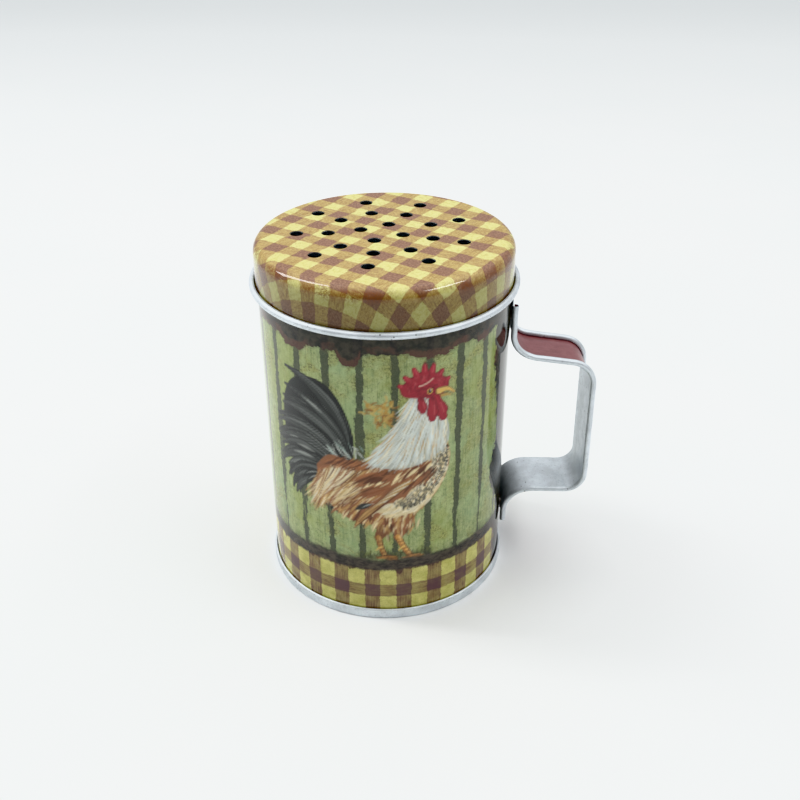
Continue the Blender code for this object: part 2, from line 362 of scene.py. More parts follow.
def tract(canvas, roots, headings, lengths, width, colours, turn=0.0, rows=1, row_step=(0, 0), jitter=1.0):
    """Rows of overlapping feathers whose roots follow a curve.

    headings and lengths run from the curve's start to its end, and each later row starts
    row_step further on and lies over the one before.
    """
    rng = canvas.rng
    count = len(roots)
    for row in range(rows):
        for k in rng.permutation(count):
            share = k / max(1, count - 1)
            start = roots[k] + row * np.array(row_step) + rng.normal(0, 0.35 * jitter, 2)
            heading = headings[0] + (headings[1] - headings[0]) * share + rng.normal(0, 5 * jitter)
            length = (lengths[0] + (lengths[1] - lengths[0]) * share) * rng.uniform(0.8, 1.15)
            colour = np.array(colours[rng.integers(len(colours))]) * rng.uniform(0.93, 1.06)
            path = bow(start, heading, length, turn * rng.uniform(0.7, 1.3), 6)
            canvas.feather(path, width * rng.uniform(0.8, 1.2), colour)


# The bird's colours
TAIL_INK = np.array((50, 52, 50))
TAIL_GREY = np.array((104, 108, 104))
TAIL_SHINE = np.array((186, 190, 182))
STRAW = np.array((222, 204, 158))
GOLD = np.array((188, 150, 94))
RUST = np.array((142, 94, 64))
UMBER = np.array((98, 62, 44))
CREAM = np.array((226, 216, 186))
HACKLE = np.array((214, 220, 212))
HACKLE_SHADE = np.array((176, 180, 170))
COMB_RED = np.array((152, 46, 56))
COMB_DARK = np.array((102, 30, 40))
COMB_LIGHT = np.array((194, 92, 94))
HORN = np.array((214, 178, 100))
LEG = np.array((196, 140, 76))
LEG_LIGHT = np.array((226, 182, 108))

TAIL_OUTLINE = (
    (-10.0, 58.0), (-10.2, 66.0), (-13.0, 74.5), (-17.5, 80.0), (-24.0, 81.0), (-30.0, 77.5),
    (-33.5, 70.0), (-33.5, 60.0), (-30.0, 51.5), (-24.0, 47.0), (-18.5, 47.5),
)


def paint_tail(canvas):
    """Curved sickle feathers laid fanwise over a dark plume, with streaks and soft shine."""
    rng = canvas.rng
    canvas.blob(curve([*TAIL_OUTLINE, TAIL_OUTLINE[0]], 70), TAIL_INK * 0.75)
    count = 26
    for k in (*range(0, count, 2), *range(1, count, 2)):
        share = k / (count - 1)
        root = np.array([-10.5 - 8.5 * share, 60.0 - 11.0 * share]) + rng.normal(0, 0.4, 2)
        heading = 92 + 88 * share + rng.normal(0, 3)
        length = 33 - 17 * share**0.8 + rng.normal(0, 1.3)
        turn = 84 - 10 * share + rng.normal(0, 7)
        path = bow(root, heading, length, turn, 14)
        widths = leaf_widths(3.9 - 0.8 * share, 14, 0.13, 0.55)
        base = TAIL_INK * rng.uniform(0.75, 1.35)
        canvas.stroke(path, widths + 0.3, TAIL_INK * 0.55)
        canvas.stroke(path, widths - 0.15, base)
        streak_feather(canvas, path, widths, TAIL_GREY, 8, 0.55)
        if rng.uniform() < 0.4:
            first = rng.integers(2, 8)
            shine = path[first : first + rng.integers(4, 7)] + rng.uniform(-0.6, 0.6, 2)
            canvas.feather(shine, rng.uniform(0.5, 1.2), TAIL_SHINE, 0.6, 0.3)
    for k in range(11):
        root = np.array([-19.5 + 0.35 * k, 50.0 - 0.75 * k])
        path = bow(root, 182 + 7 * k + rng.normal(0, 4), 9.5 - 0.45 * k, 55, 9)
        canvas.feather(path, 2.0, TAIL_INK * rng.uniform(0.7, 1.2))
        canvas.feather(path[1:7] + (0, 0.3), 0.5, TAIL_SHINE, 0.7)
    for _ in range(46):
        root = np.array([-12.0, 58.0]) + rng.normal(0, (2.6, 1.6))
        tint = canvas.pick(HACKLE, HACKLE_SHADE, (148, 172, 160))
        canvas.feather(bow(root, 128 + rng.normal(0, 22), rng.uniform(1.6, 4.2), 12, 5), 0.5, tint, 0.7)


def streak_feather(canvas, path, widths, colour, count, strength):
    """Fine streaks along a feather, each a little to one side of its shaft."""
    rng = canvas.rng
    along = np.gradient(path, axis=0)
    normal = np.stack([-along[:, 1], along[:, 0]], axis=-1)
    normal /= np.linalg.norm(normal, axis=1)[:, None]
    for _ in range(count):
        first = rng.integers(0, len(path) // 2)
        last = rng.integers(len(path) // 2 + 1, len(path))
        offset = rng.uniform(-0.4, 0.4) * widths[first:last, None]
        tint = colour * rng.uniform(0.7, 1.25)
        streak = path[first:last] + normal[first:last] * offset
        canvas.feather(streak, 0.45, tint, strength, tip=0.3)


def paint_legs(canvas):
    """Two scaled legs with their toes and spurs, and the fluff that hides their tops."""
    rng = canvas.rng
    for hip, knee, foot, tone in (
        ((-1.0, 37.0), (-3.2, 30.8), (-1.2, 23.4), 0.84),
        ((3.6, 37.5), (2.4, 31.0), (6.4, 23.2), 1.0),
    ):
        thigh = curve([hip, np.add(hip, knee) / 2 + (0.8, 0.4), knee], 7)
        canvas.stroke(thigh, (7.2, 2.5), RUST * tone)
        shank = curve([knee, np.add(knee, foot) / 2 + (-0.3, 0), foot], 7)
        canvas.stroke(shank, (2.1, 1.7), UMBER * tone)
        canvas.stroke(shank, (1.7, 1.3), LEG * tone)
        canvas.stroke(shank + (0.3, 0), 0.5, LEG_LIGHT * tone)
        for share in np.linspace(0.15, 0.9, 8):
            at = shank[0] + (shank[-1] - shank[0]) * share
            canvas.stroke([at + (-0.8, 0.1), at + (0.6, -0.15)], 0.25, UMBER, 0.6)
        for heading, length in ((-12, 4.6), (-38, 3.8), (8, 3.4), (196, 2.6)):
            toe = bow(foot, heading, length, -25, 5)
            canvas.stroke(toe, (1.5, 0.7), UMBER * tone)
            canvas.stroke(toe, (1.1, 0.5), LEG * tone)
        spur = bow(shank[3], 205, 1.8, 30, 4)
        canvas.stroke(spur, (0.8, 0.3), HORN)
        for _ in range(46):
            start = np.array(hip) + rng.normal(0, (2.2, 2.0))
            fluff = bow(start, -104 + rng.normal(0, 14), rng.uniform(2.4, 4.6), 12, 5)
            tint = canvas.pick(RUST, GOLD, UMBER, STRAW) * tone
            canvas.feather(fluff, 0.75, tint, 0.85)


BODY_OUTLINE = (
    (-21.5, 53.0), (-17.0, 57.6), (-9.0, 56.6), (-1.0, 58.2), (7.0, 62.0), (13.6, 65.5), (17.4, 60.0),
    (17.6, 53.5), (14.8, 46.5), (9.5, 40.5), (3.0, 36.6), (-4.5, 35.4), (-12.0, 36.8), (-17.5, 40.6),
    (-21.0, 46.0),
)


def paint_body(canvas):
    """A patch of rust, then rows of feathers: belly, breast, flank, saddle, rump, wing bow."""
    canvas.blob(curve([*BODY_OUTLINE, BODY_OUTLINE[0]], 90), RUST)
    belly = curve([(-15, 41.5), (-6, 38.0), (3, 38.8), (10, 43.5)], 44)
    tract(canvas, belly, (-140, -112), (4.5, 3.5), 0.8, (RUST, GOLD, UMBER, STRAW), 20, 3, (0.3, 1.7))
    breast = curve([(16.6, 63), (17.7, 56), (15.2, 48.0), (9.6, 41.8), (4.0, 39.6)], 44)
    tints = (CREAM, STRAW, CREAM, (206, 190, 148))
    tract(canvas, breast, (-104, -160), (3.0, 4.0), 1.1, tints, 8, 6, (-1.25, 0.4))
    flank = curve([(-19.5, 46.0), (-13.0, 48.0), (-6.0, 47.5), (1.0, 49.0)], 52)
    tints = (RUST, UMBER, GOLD, STRAW, CREAM)
    tract(canvas, flank, (-98, -132), (9, 7), 0.55, tints, -14, 2, (0.4, 1.2))
    saddle_stops = [(-20.0, 47.5), (-16.0, 51.0), (-8.0, 51.6), (-2.5, 51.4)]
    for lift, tints in (
        (0.0, (GOLD, RUST, STRAW)), (2.2, (STRAW, CREAM, GOLD)), (4.4, (CREAM, STRAW, CREAM, GOLD)),
    ):
        saddle = curve(np.add(saddle_stops, (0, lift)), 62)
        tract(canvas, saddle, (-104, -128), (12, 13), 0.5, tints, -16)
        tract(canvas, saddle[::4], (-104, -128), (11, 12), 0.35, (UMBER, RUST), -16)
    rump = curve([(-18.5, 54.0), (-13.0, 57.4), (-6.5, 56.6), (-2.5, 57.0)], 34)
    tract(canvas, rump, (-128, -150), (4.5, 5.5), 0.7, (RUST, (172, 116, 76), UMBER), -10, 2, (0.2, 0.5))
    wing_bow = curve([(-4.5, 53.0), (2, 55.2), (11.5, 58.2)], 34)
    tints = (RUST, (160, 106, 70), (134, 84, 56), RUST, UMBER)
    tract(canvas, wing_bow, (-160, -140), (7, 6), 0.9, tints, 12, 5, (0.7, -1.35))


def paint_wing(canvas):
    """Long flight feathers, pale with dark edges, under two bars of shorter ones."""
    rng = canvas.rng
    for k in range(9):
        share = k / 8
        start = np.array([9.5 - 1.4 * k, 52.2 - 1.15 * k])
        path = bow(start, -154 + 9 * share, 17.5 - 4.5 * share, 26, 10)
        colour = (CREAM if k % 2 else GOLD) * rng.uniform(0.9, 1.05)
        canvas.feather(path, 2.3, UMBER, belly=0.5)
        canvas.feather(path + (0.1, 0.3), 1.7, colour, belly=0.5)
        canvas.stroke(path[1:8], 0.25, UMBER, 0.7)
    canvas.feather(bow((-5.0, 42.6), 196, 5.5, 22, 7), 2.0, TAIL_INK)
    canvas.feather(bow((-4.4, 42.9), 196, 4.0, 22, 7), 0.5, TAIL_SHINE, 0.8)
    bar = curve([(-3.5, 51.0), (3.5, 52.6), (11.5, 54.4)], 22)
    tract(canvas, bar, (-150, -136), (5, 4.5), 1.25, (UMBER, RUST, STRAW), 14, 2, (0.7, 1.4), 0.7)


def paint_breast_flecks(canvas):
    """Dark flecks in loose rows down the breast."""
    rng = canvas.rng
    for k in range(190):
        share = (k % 38 + 0.5 * (k // 38 % 2)) / 38
        edge = curve([(17.2, 60.0), (16.6, 52.5), (11.5, 44.5), (5.0, 40.6)], 42)[int(share * 41)]
        at = edge + np.array([-1.0, 0.4]) * (0.5 + k // 38) * 1.05 + rng.normal(0, 0.14, 2)
        fleck = bow(at, -52 + rng.normal(0, 12) - 50 * share, rng.uniform(0.5, 0.95), 40, 4)
        canvas.stroke(fleck, rng.uniform(0.28, 0.45), TAIL_INK, 0.9 - 0.12 * (k // 38))


def paint_neck(canvas):
    """The hackle: layers of long narrow feathers that fall from the head over the shoulders."""
    neck = curve([(6.0, 78.0), (2.2, 69.0), (-5.5, 58.2), (-1.0, 55.2), (8.0, 55.6), (16.4, 60.5),
                  (17.2, 67.0), (14.2, 74.0), (12.5, 78.5)], 60)
    canvas.blob(neck, HACKLE_SHADE)
    rings = (
        ((-3.0, 60.5), (5.5, 60.0), (15.6, 63.5), (-128, -72), (6.5, 5.0), 44),
        ((-1.0, 63.2), (6.5, 62.6), (16.0, 66.5), (-126, -74), (7.5, 6.0), 44),
        ((1.0, 66.5), (7.6, 66.0), (15.8, 69.5), (-124, -78), (8.0, 6.5), 40),
        ((2.6, 70.0), (8.5, 69.6), (15.0, 72.4), (-121, -80), (8.0, 6.5), 36),
        ((4.2, 73.6), (9.2, 73.2), (14.0, 75.0), (-118, -84), (7.5, 6.5), 30),
        ((5.8, 77.0), (9.6, 76.4), (12.8, 77.4), (-114, -90), (7.0, 5.5), 22),
    )
    tints = (HACKLE, HACKLE, CREAM, HACKLE_SHADE, (196, 206, 206))
    for left, middle, right, headings, lengths, count in rings:
        roots = curve([left, middle, right], round(count * 1.5))
        tract(canvas, roots, headings, lengths, 0.55, tints, -14)
        tract(canvas, roots[::4], headings, lengths, 0.32, ((150, 146, 122), GOLD), -14)
        tract(canvas, roots[::2], headings, lengths, 0.40, (HACKLE,), -14)


def paint_head(canvas):
    """Comb, face, beak, wattles and eye."""
    rng = canvas.rng
    comb_base = curve([(5.6, 80.2), (9.8, 83.0), (14.6, 80.4)], 9)
    canvas.stroke(comb_base, 5.0, COMB_DARK)
    for k in range(7):
        share = k / 6
        root = comb_base[0] + (comb_base[-1] - comb_base[0]) * share + (0, 2.8 * math.sin(math.pi * share))
        heading = 160 - 118 * share + rng.normal(0, 4)
        point = bow(root, heading, 2.2 + 1.9 * math.sin(math.pi * (0.12 + 0.8 * share)), -10, 6)
        canvas.stroke(point, (3.0, 1.35), COMB_DARK)
        canvas.stroke(point, (2.7, 1.05), COMB_RED * rng.uniform(0.9, 1.12))
        canvas.stroke(point[2:6] + (0.25, 0.1), 0.45, COMB_LIGHT, 0.55)
    canvas.stroke(comb_base - (0, 0.2), 4.5, COMB_RED)
    face = curve([(7.2, 79.3), (10.6, 80.2), (13.4, 78.0)], 7)
    canvas.stroke(face, (3.8, 5.0, 5.8, 6.2, 6.0, 5.2, 4.2), COMB_RED)
    for _ in range(60):
        at = comb_base[rng.integers(9)] + rng.normal(0, 1.0, 2)
        tint = canvas.pick(COMB_DARK, COMB_LIGHT)
        canvas.stroke(bow(at, rng.uniform(60, 130), rng.uniform(0.5, 1.4), 20, 4), 0.3, tint, 0.4)
    upper = curve([(14.0, 78.4), (16.6, 78.6), (18.9, 76.9)], 6)
    canvas.stroke(upper, (2.3, 0.5), UMBER)
    canvas.stroke(upper, (1.9, 0.35), HORN)
    lower = curve([(14.2, 76.9), (16.2, 76.8), (17.7, 76.3)], 5)
    canvas.stroke(lower, (1.3, 0.4), HORN * 0.82)
    canvas.stroke(curve([(14.6, 77.4), (16.6, 77.4), (18.3, 76.6)], 5), 0.22, UMBER)
    for start, heading, length, width in (
        ((13.2, 76.4), -66, 6.8, 3.9), ((12.0, 75.8), -84, 5.6, 3.2), ((8.8, 76.6), -76, 3.6, 2.6),
    ):
        wattle = bow(start, heading, length, -8, 7)
        canvas.feather(wattle, width + 0.5, COMB_DARK, tip=0.6, belly=0.65)
        canvas.feather(wattle, width, COMB_RED, tip=0.6, belly=0.65)
        canvas.stroke(wattle[2:6] + (0.5, 0.3), 0.5, COMB_LIGHT, 0.55)
    for _ in range(40):
        at = np.array([rng.uniform(8.0, 13.6), rng.uniform(76.4, 80.6)])
        canvas.stroke(bow(at, rng.uniform(0, 360), 0.8, 40, 4), 0.4, COMB_DARK, 0.45)
    canvas.stroke(bow((8.4, 80.9), 10, 4.2, 30, 6), 0.45, CREAM, 0.75)
    eye = np.array([11.4, 78.9])
    canvas.stroke([eye, eye + 0.01], 1.7, HORN)
    canvas.stroke([eye, eye + 0.01], 1.1, (30, 22, 20))
    canvas.stroke([eye + (0.2, 0.25), eye + (0.25, 0.3)], 0.35, (240, 240, 235))


def paint_sprig(canvas):
    """A dab of dry leaves behind the neck, and grass at the feet."""
    rng = canvas.rng
    for _ in range(60):
        at = np.array([-1.5, 73.0]) + rng.normal(0, (2.6, 2.3))
        tint = canvas.pick((176, 138, 72), (140, 96, 52), (196, 168, 96))
        canvas.stroke(bow(at, rng.uniform(0, 360), rng.uniform(0.8, 2.2), 40, 4), 0.6, tint, 0.8)
    for _ in range(150):
        at = np.array([rng.uniform(-9, 13), 22.6 + abs(rng.normal(0, 0.9))])
        tint = canvas.pick((70, 74, 48), (104, 110, 58), (46, 44, 36))
        canvas.stroke(bow(at, 90 + rng.normal(0, 30), rng.uniform(0.8, 2.6), 20, 4), 0.4, tint, 0.55)


def farm_bird():
    """A rooster that faces right, painted back to front."""
    canvas = Canvas(seed=11)
    for paint in (
        paint_sprig, paint_tail, paint_legs, paint_body, paint_wing, paint_breast_flecks, paint_neck,
        paint_head,
    ):
        paint(canvas)
    return canvas


# ---------------------------------------------------------------- pieces


def hole_middles():
    """The middles of the punched holes: three rings about a point a little off the lid's middle."""
    middles = []
    for count, ring_r, first in HOLE_RINGS:
        for k in range(count):
            angle = math.radians(first + 360 * k / count)
            middles.append((ring_r * math.cos(angle), ring_r * math.sin(angle)))
    return np.array(middles) + HOLE_CENTRE


def wall_outline():
    """The wall's outline in four runs: foot bend and hook, outer face, rim and hem, inner face."""
    inner = WALL_R - SHEET
    hook_outer = WALL_R + FOLD_GAP + SHEET
    foot = SHEET + SEAT_GAP
    foot_r = (hook_outer - inner) / 2
    hem_outer = inner - FOLD_GAP
    hem_inner = hem_outer - SHEET
    round_r = (WALL_R - hem_inner) / 2
    outer_z = graded(
        (foot + SHEET, 6, 1.3), (6, 20, 1.0), (20, 34, 0.5), (34, 87, 0.4), (87, 101, 0.8),
        (101, RIM_Z - round_r, 0.7),
    )
    inner_z = graded((RIM_Z - SHEET, RIM_Z - RIM_FOLD - 0.5, 1.0), (102.7, 102.4, 0.3), (102.4, 5, 12),
                     (5, foot + foot_r, 1.5))
    foot_bend = arc((inner + foot_r, foot + foot_r), foot_r, 180, 180, 8)
    hook_top = SEAM_H - 2 * SHEET - SEAT_GAP
    hook = [(hook_outer, hook_top), (hook_outer - SHEET, hook_top), (hook_outer - SHEET, foot + SHEET)]
    rim = arc((WALL_R - round_r, RIM_Z - round_r), round_r, 0, 180, 10)[1:]
    hem_low = RIM_Z - RIM_FOLD
    hem = [(hem_inner, hem_low + 1.5), (hem_inner, hem_low), (hem_outer, hem_low), (hem_outer, RIM_Z - SHEET)]
    outer = [(WALL_R, z) for z in outer_z]
    wall = [(inner, z) for z in inner_z[:-1]]
    return [*foot_bend, *hook], outer, [*rim, *hem], wall


def body_wall(materials):
    """The rolled wall with its foot hook and mouth hem; its outer face carries the print."""
    foot, outer, mouth, wall = wall_outline()
    outline = np.array([*foot, *outer, *mouth, *wall])
    start = LOCK_U - AROUND
    u = graded(
        (start, start + 5, 0.25), (start + 5, -138, 1.6), (-138, -74, 0.6), (-74, -42, 1.6),
        (-42, 22, 0.4), (22, LOCK_U - 7, 1.5), (LOCK_U - 7, LOCK_U, 0.25),
    )
    angles = u[:-1] / WALL_R - math.pi / 2
    verts, quads = lathe(outline, angles)

    grid_u, grid_z = np.meshgrid(u[:-1], outline[:, 1])
    row = np.arange(len(outline))[:, None]
    outer_face = (row >= len(foot)) & (row < len(foot) + len(outer))
    printed = outer_face & np.roll(outer_face, -1)
    slots = np.where(printed, 0, 1) + np.zeros(grid_u.shape, int)
    inner_face = row >= len(outline) - len(wall)
    verts = pushed(verts, side_seam(grid_u, grid_z, outer_face, inner_face))

    picture = farm_bird()
    paint = np.zeros((grid_u.size, 4))
    grain = np.zeros((grid_u.size, 3))
    for shift in (0, BACK_PICTURE):
        colour, cover, lines = picture.at(grid_u.ravel() - shift, grid_z.ravel())
        clear = np.maximum(cover, 1e-3)[:, None]
        paint[:, :3] += linear(np.clip(colour / clear, 0, 1) * 255) * cover[:, None]
        paint[:, 3] += cover
        grain += lines

    above_z = np.roll(grid_z, -1, axis=0)
    corner_u = np.stack([grid_u, grid_u + np.diff(u), grid_u + np.diff(u), grid_u], -1)
    corner_z = np.stack([grid_z, grid_z, above_z, above_z], -1)
    sheet = np.stack([corner_u, corner_z, np.zeros(corner_u.shape)], -1).reshape(-1, 3)
    made = solid(
        "body_wall", verts, quads.tolist(), materials, slots.ravel(), sharp=50,
        points={"paint": paint, "paint_cover": paint[:, 3], "grain": grain},
        corners={"sheet": sheet},
    )
    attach(made, "tin")
    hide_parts("body_shell")


def pushed(verts, by):
    """Points moved away from the can's axis by lengths in mm."""
    stretch = 1 + by / np.maximum(np.hypot(verts[:, 0], verts[:, 1]), 1)
    return verts * np.stack([stretch, stretch, np.ones(len(verts))], -1)


def side_seam(u, z, outer_face, inner_face):
    """How far the wall's points stand out: the side seam, and the sheet's slight unevenness."""
    from_lock = (u - HANDLE_U + AROUND / 2) % AROUND - AROUND / 2
    from_fold = (u - LOCK_U + AROUND / 2) % AROUND - AROUND / 2
    in_seam = np.clip(1 - np.maximum(np.abs(from_lock) - LOCK_HALF_WIDTH, 0) / 0.15, 0, 1)
    height = np.clip((z - LOCK_LOW) / 0.6, 0, 1) * np.clip((LOCK_HIGH - z) / 0.3, 0, 1)
    fold = -0.13 * np.exp(-((from_fold / 0.16) ** 2)) * height
    angle = u / WALL_R
    wave = value_noise(4 * np.cos(angle) + 9, z / 17 + 4 * np.sin(angle), 3)
    free = np.clip((z - 6) / 8, 0, 1) * np.clip((RIM_Z - 4 - z) / 6, 0, 1)
    outside = np.where(outer_face, fold + 0.02 * wave * free, 0)
    inside = np.where(inner_face, LOCK_DEPTH * in_seam * height, 0)
    return (outside - inside).ravel()


def base(materials):
    """The bare recessed end, its seam rolled round the wall's foot."""
    edge_r, bend_r = 0.45, 0.6
    panel_z, step, step_r = 3.3, 0.5, 27.5
    wall_outer = WALL_R - SHEET - SEAT_GAP
    wall_inner = wall_outer - SHEET
    top = panel_z + SHEET
    channel = SEAM_R - SHEET
    lip = WALL_R + SEAT_GAP
    tight_r = bend_r - SHEET
    outline = [
        (0, panel_z + step), (12, panel_z + step),
        *arc((step_r - 1.4, panel_z + step - 0.5), 0.5, 90, -45, 4),
        *arc((step_r - 0.1, panel_z + 0.5), 0.5, 225, 45, 4),
        (step_r + 4, panel_z),
        *arc((wall_inner - tight_r, panel_z - tight_r), tight_r, 90, -90, 6),
        (wall_inner, 1.5),
        *arc((wall_inner + edge_r, edge_r), edge_r, 180, 90, 6),
        *arc((SEAM_R - edge_r, edge_r), edge_r, 270, 90, 6),
        (SEAM_R, 1.6), (SEAM_R - 0.03, 2.4),
        *arc((SEAM_R - edge_r, SEAM_H - edge_r), edge_r, 0, 90, 6),
        (lip, SEAM_H), (lip, SEAM_H - 2 * SHEET),
        (channel, SEAM_H - 2 * SHEET), (channel, SHEET), (wall_outer, SHEET),
        *arc((wall_outer - bend_r, top - bend_r), bend_r, 0, 90, 6),
        (step_r, top), (step_r - step, top + step), (0, top + step),
    ]
    angles = np.arange(288) * math.tau / 288
    verts, quads = lathe(outline, angles)
    around = np.tile(angles, len(outline))
    uneven = 0.015 * value_noise(3 * np.cos(around) + 20, verts[:, 2] + 5 * np.sin(around), 8) - 0.015
    verts = pushed(verts, np.where(np.hypot(verts[:, 0], verts[:, 1]) > SEAM_R - 0.5, uneven, 0))
    made = solid("seamed_base", verts, weld_axis(verts, quads), materials, sharp=40)
    drop_loose_points(made)
    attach(made, "tin")
    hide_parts("base_plate")


def weld_axis(verts, quads):
    """Faces with all corners on the axis dropped, and those with two there made triangles."""
    on_axis = np.hypot(verts[:, 0], verts[:, 1]) < 1e-6
    middle = {}
    for index in np.flatnonzero(on_axis):
        middle.setdefault(round(verts[index, 2], 6), int(index))
    faces = []
    for quad in quads.tolist():
        corners = []
        for index in quad:
            index = middle[round(verts[index, 2], 6)] if on_axis[index] else index
            if index not in corners:
                corners.append(index)
        if len(corners) > 2:
            faces.append(corners)
    return faces


def drop_loose_points(made):
    """Removes vertices that no face uses."""
    editing = bmesh.new()
    editing.from_mesh(made.data)
    loose = [vert for vert in editing.verts if not vert.link_faces]
    bmesh.ops.delete(editing, geom=loose, context="VERTS")
    editing.to_mesh(made.data)
    editing.free()


def lid(materials):
    """The drawn lid: punched top, shoulder, skirt, and the edge rolled outwards."""
    inner = LID_R - SHEET
    plate_r = 33.6
    columns = 320
    shoulder = (LID_R - LID_CORNER_R, LID_TOP - LID_CORNER_R)
    curl = (CURL_REACH - CURL_R, CURL_Z)
    under = [(plate_r, LID_TOP - SHEET), *arc(shoulder, LID_CORNER_R - SHEET, 90, -90, 10),
             *[(inner, z) for z in np.linspace(105, SKIRT_LOW + 0.2, 6)]]
    rolled = arc(curl, CURL_R, 180, CURL_TURN, 28)
    back = arc(curl, CURL_R - SHEET, 180, CURL_TURN, 28)[::-1]
    skirt = [(LID_R, z) for z in np.linspace(SKIRT_LOW, SKIRT_HIGH, 10)]
    outer = [*skirt, *arc(shoulder, LID_CORNER_R, 0, 90, 14), (plate_r, LID_TOP)]
    outline = [*under, *rolled, *back, *outer]
    angles = np.arange(columns) * math.tau / columns
    verts, quads = lathe(outline, angles, closed=False)
    bare_until = len(under) + len(rolled) - 1
    slots = [1] * (bare_until * columns) + [0] * (len(quads) - bare_until * columns)

    faces = quads.tolist()
    verts = verts.tolist()
    upper_loops, lower_loops = punch_holes(verts, faces, slots)
    first_row = list(range(columns))
    last_row = list(range((len(outline) - 1) * columns, len(outline) * columns))
    for rim, loops, up, slot in ((last_row, upper_loops, True, 0), (first_row, lower_loops, False, 1)):
        for triangle in fill(verts, [rim, *loops]):
            a, b, c = (np.array(verts[k]) for k in triangle)
            faces.append(triangle if (np.cross(b - a, c - a)[2] > 0) == up else triangle[::-1])
            slots.append(slot)

    verts = np.array(verts)
    # the holes' rims and walls, painted near black later: partly painted shade inside each hole and on its
    # rolled-in rim, partly a dark stain on the punched edge
    punched = np.clip((HOLE_R + 0.2 - from_holes(verts)) / 0.1, 0, 1)
    made = solid(
        "perforated_lid", verts, faces, materials, slots, sharp=40,
        points={"sheet": drawn_from(verts), "edge": lid_edges(verts), "punched": punched},
    )
    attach(made, "lid")
    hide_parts("shaker_lid")


def punch_holes(verts, faces, slots):
    """Adds the holes' walls to a lid, and gives their upper and lower loops of vertices."""
    sides = 40
    rings = ((HOLE_R + 0.2, 0.0), (HOLE_R + 0.1, -0.012), (HOLE_R + 0.03, -0.05), (HOLE_R, -0.11),
             (HOLE_R, -SHEET))
    upper_loops, lower_loops = [], []
    for x, y in hole_middles():
        loops = []
        for ring_r, drop in rings:
            loops.append([len(verts) + k for k in range(sides)])
            for k in range(sides):
                angle = math.tau * k / sides
                verts.append((x + ring_r * math.cos(angle), y + ring_r * math.sin(angle), LID_TOP + drop))
        for a, b in zip(loops, loops[1:]):
            for k in range(sides):
                n = (k + 1) % sides
                faces.append([a[k], a[n], b[n], b[k]])
                slots.append(1 if b is loops[-1] else 0)
        upper_loops.append(loops[0])
        lower_loops.append(loops[-1])
    return upper_loops, lower_loops


def fill(verts, loops):
    """Triangles between an outer loop of vertices and the holes' loops, all in one plane."""
    order = [index for loop in loops for index in loop]
    found = geometry.tessellate_polygon([[Vector(verts[index]) for index in loop] for loop in loops])
    return [[order[k] for k in triangle] for triangle in found]


def drawn_from(verts):
    """Where each point of the lid lay on the flat printed sheet, before the lid was drawn.

    Drawing stretched the sheet a little towards its edge, and more along its grain, so the
    checks lengthen and drift as they go down the skirt.
    """
    radius = np.hypot(verts[:, 0], verts[:, 1])
    angle = np.arctan2(verts[:, 1], verts[:, 0])
    drop = np.clip(LID_TOP - verts[:, 2], 0, None)
    round_corner = np.arccos(np.clip(1 - drop / LID_CORNER_R, -1, 1)) * LID_CORNER_R
    straight = LID_CORNER_R * math.pi / 2 + drop - LID_CORNER_R
    depth = np.where(drop < LID_CORNER_R, round_corner, straight)
    start = LID_R - LID_CORNER_R
    length = np.where(radius > start, start + depth, radius)
    flat = length - STRETCH * np.clip(length - STRETCH_FROM, 0, None)
    drift = DRIFT * np.sin(2 * (angle - GRAIN_ANGLE)) * np.clip((length - start) / 3, 0, 1)
    return np.stack([flat * np.cos(angle + drift), flat * np.sin(angle + drift), 0 * flat], -1)


def from_holes(verts):
    """Each point's distance from the middle of the nearest hole."""
    offsets = verts[:, None, :2] - hole_middles()
    return np.min(np.hypot(offsets[..., 0], offsets[..., 1]), axis=1)


def lid_edges(verts):
    """1 at the shoulder and the holes' rims, where the print wears first, and 0 away from them."""
    radius = np.hypot(verts[:, 0], verts[:, 1])
    hole = np.clip(1 - (from_holes(verts) - HOLE_R) / 0.2, 0, 1) * (radius < LID_R - LID_CORNER_R)
    shoulder = np.exp(-(((radius - LID_R + 0.9) / 0.8) ** 2)) * (verts[:, 2] > LID_TOP - LID_CORNER_R)
    low = np.clip(1 - (verts[:, 2] - SKIRT_LOW) / 0.8, 0, 1) * (radius < LID_R + 0.1)
    return np.clip(hole + 0.7 * shoulder + 0.5 * low, 0, 1)


def handle_path():
    """Stations along the strip's inner face: distance from the axis, height, normal, wrap.

    Wrap is 1 where a tab follows the wall and 0 where the strip is flat.
    """
    bends = []
    for k, bend_r in enumerate(HANDLE_BENDS, start=1):
        before, here, after = (np.array(point) for point in HANDLE_CORNERS[k - 1 : k + 2])
        heading_in = math.atan2(*(here - before)[::-1])
        heading_out = math.atan2(*(after - here)[::-1])
        turn = (heading_out - heading_in + math.pi) % math.tau - math.pi
        side = math.copysign(1, turn)
        setback = bend_r * math.tan(abs(turn) / 2)
        start = here - setback * np.array([math.cos(heading_in), math.sin(heading_in)])
        middle = start + side * bend_r * np.array([-math.sin(heading_in), math.cos(heading_in)])
        wrap_in, wrap_out = int(k == 1), int(k == len(HANDLE_BENDS))
        bend = []
        for share in np.linspace(0, 1, 17):
            heading = heading_in + turn * share
            smooth = share * share * (3 - 2 * share)
            point = middle - side * bend_r * np.array([-math.sin(heading), math.cos(heading)])
            bend.append((*point, heading + math.pi / 2, wrap_in + (wrap_out - wrap_in) * smooth))
        bends.append(bend)
    stations = [(*HANDLE_CORNERS[0], 0, 1)]
    for bend in [*bends, [(*HANDLE_CORNERS[-1], 0, 1)]]:
        last, first = np.array(stations[-1]), np.array(bend[0])
        length = math.hypot(*(first - last)[:2])
        count = max(1, round(length / 0.55))
        level = (first[2] - last[2] + math.pi) % math.tau - math.pi
        for k in range(1, count):
            share = k / count
            stations.append((*(last[:2] + (first - last)[:2] * share), last[2] + level * share, first[3]))
        stations.extend(bend)
    return np.array(stations)


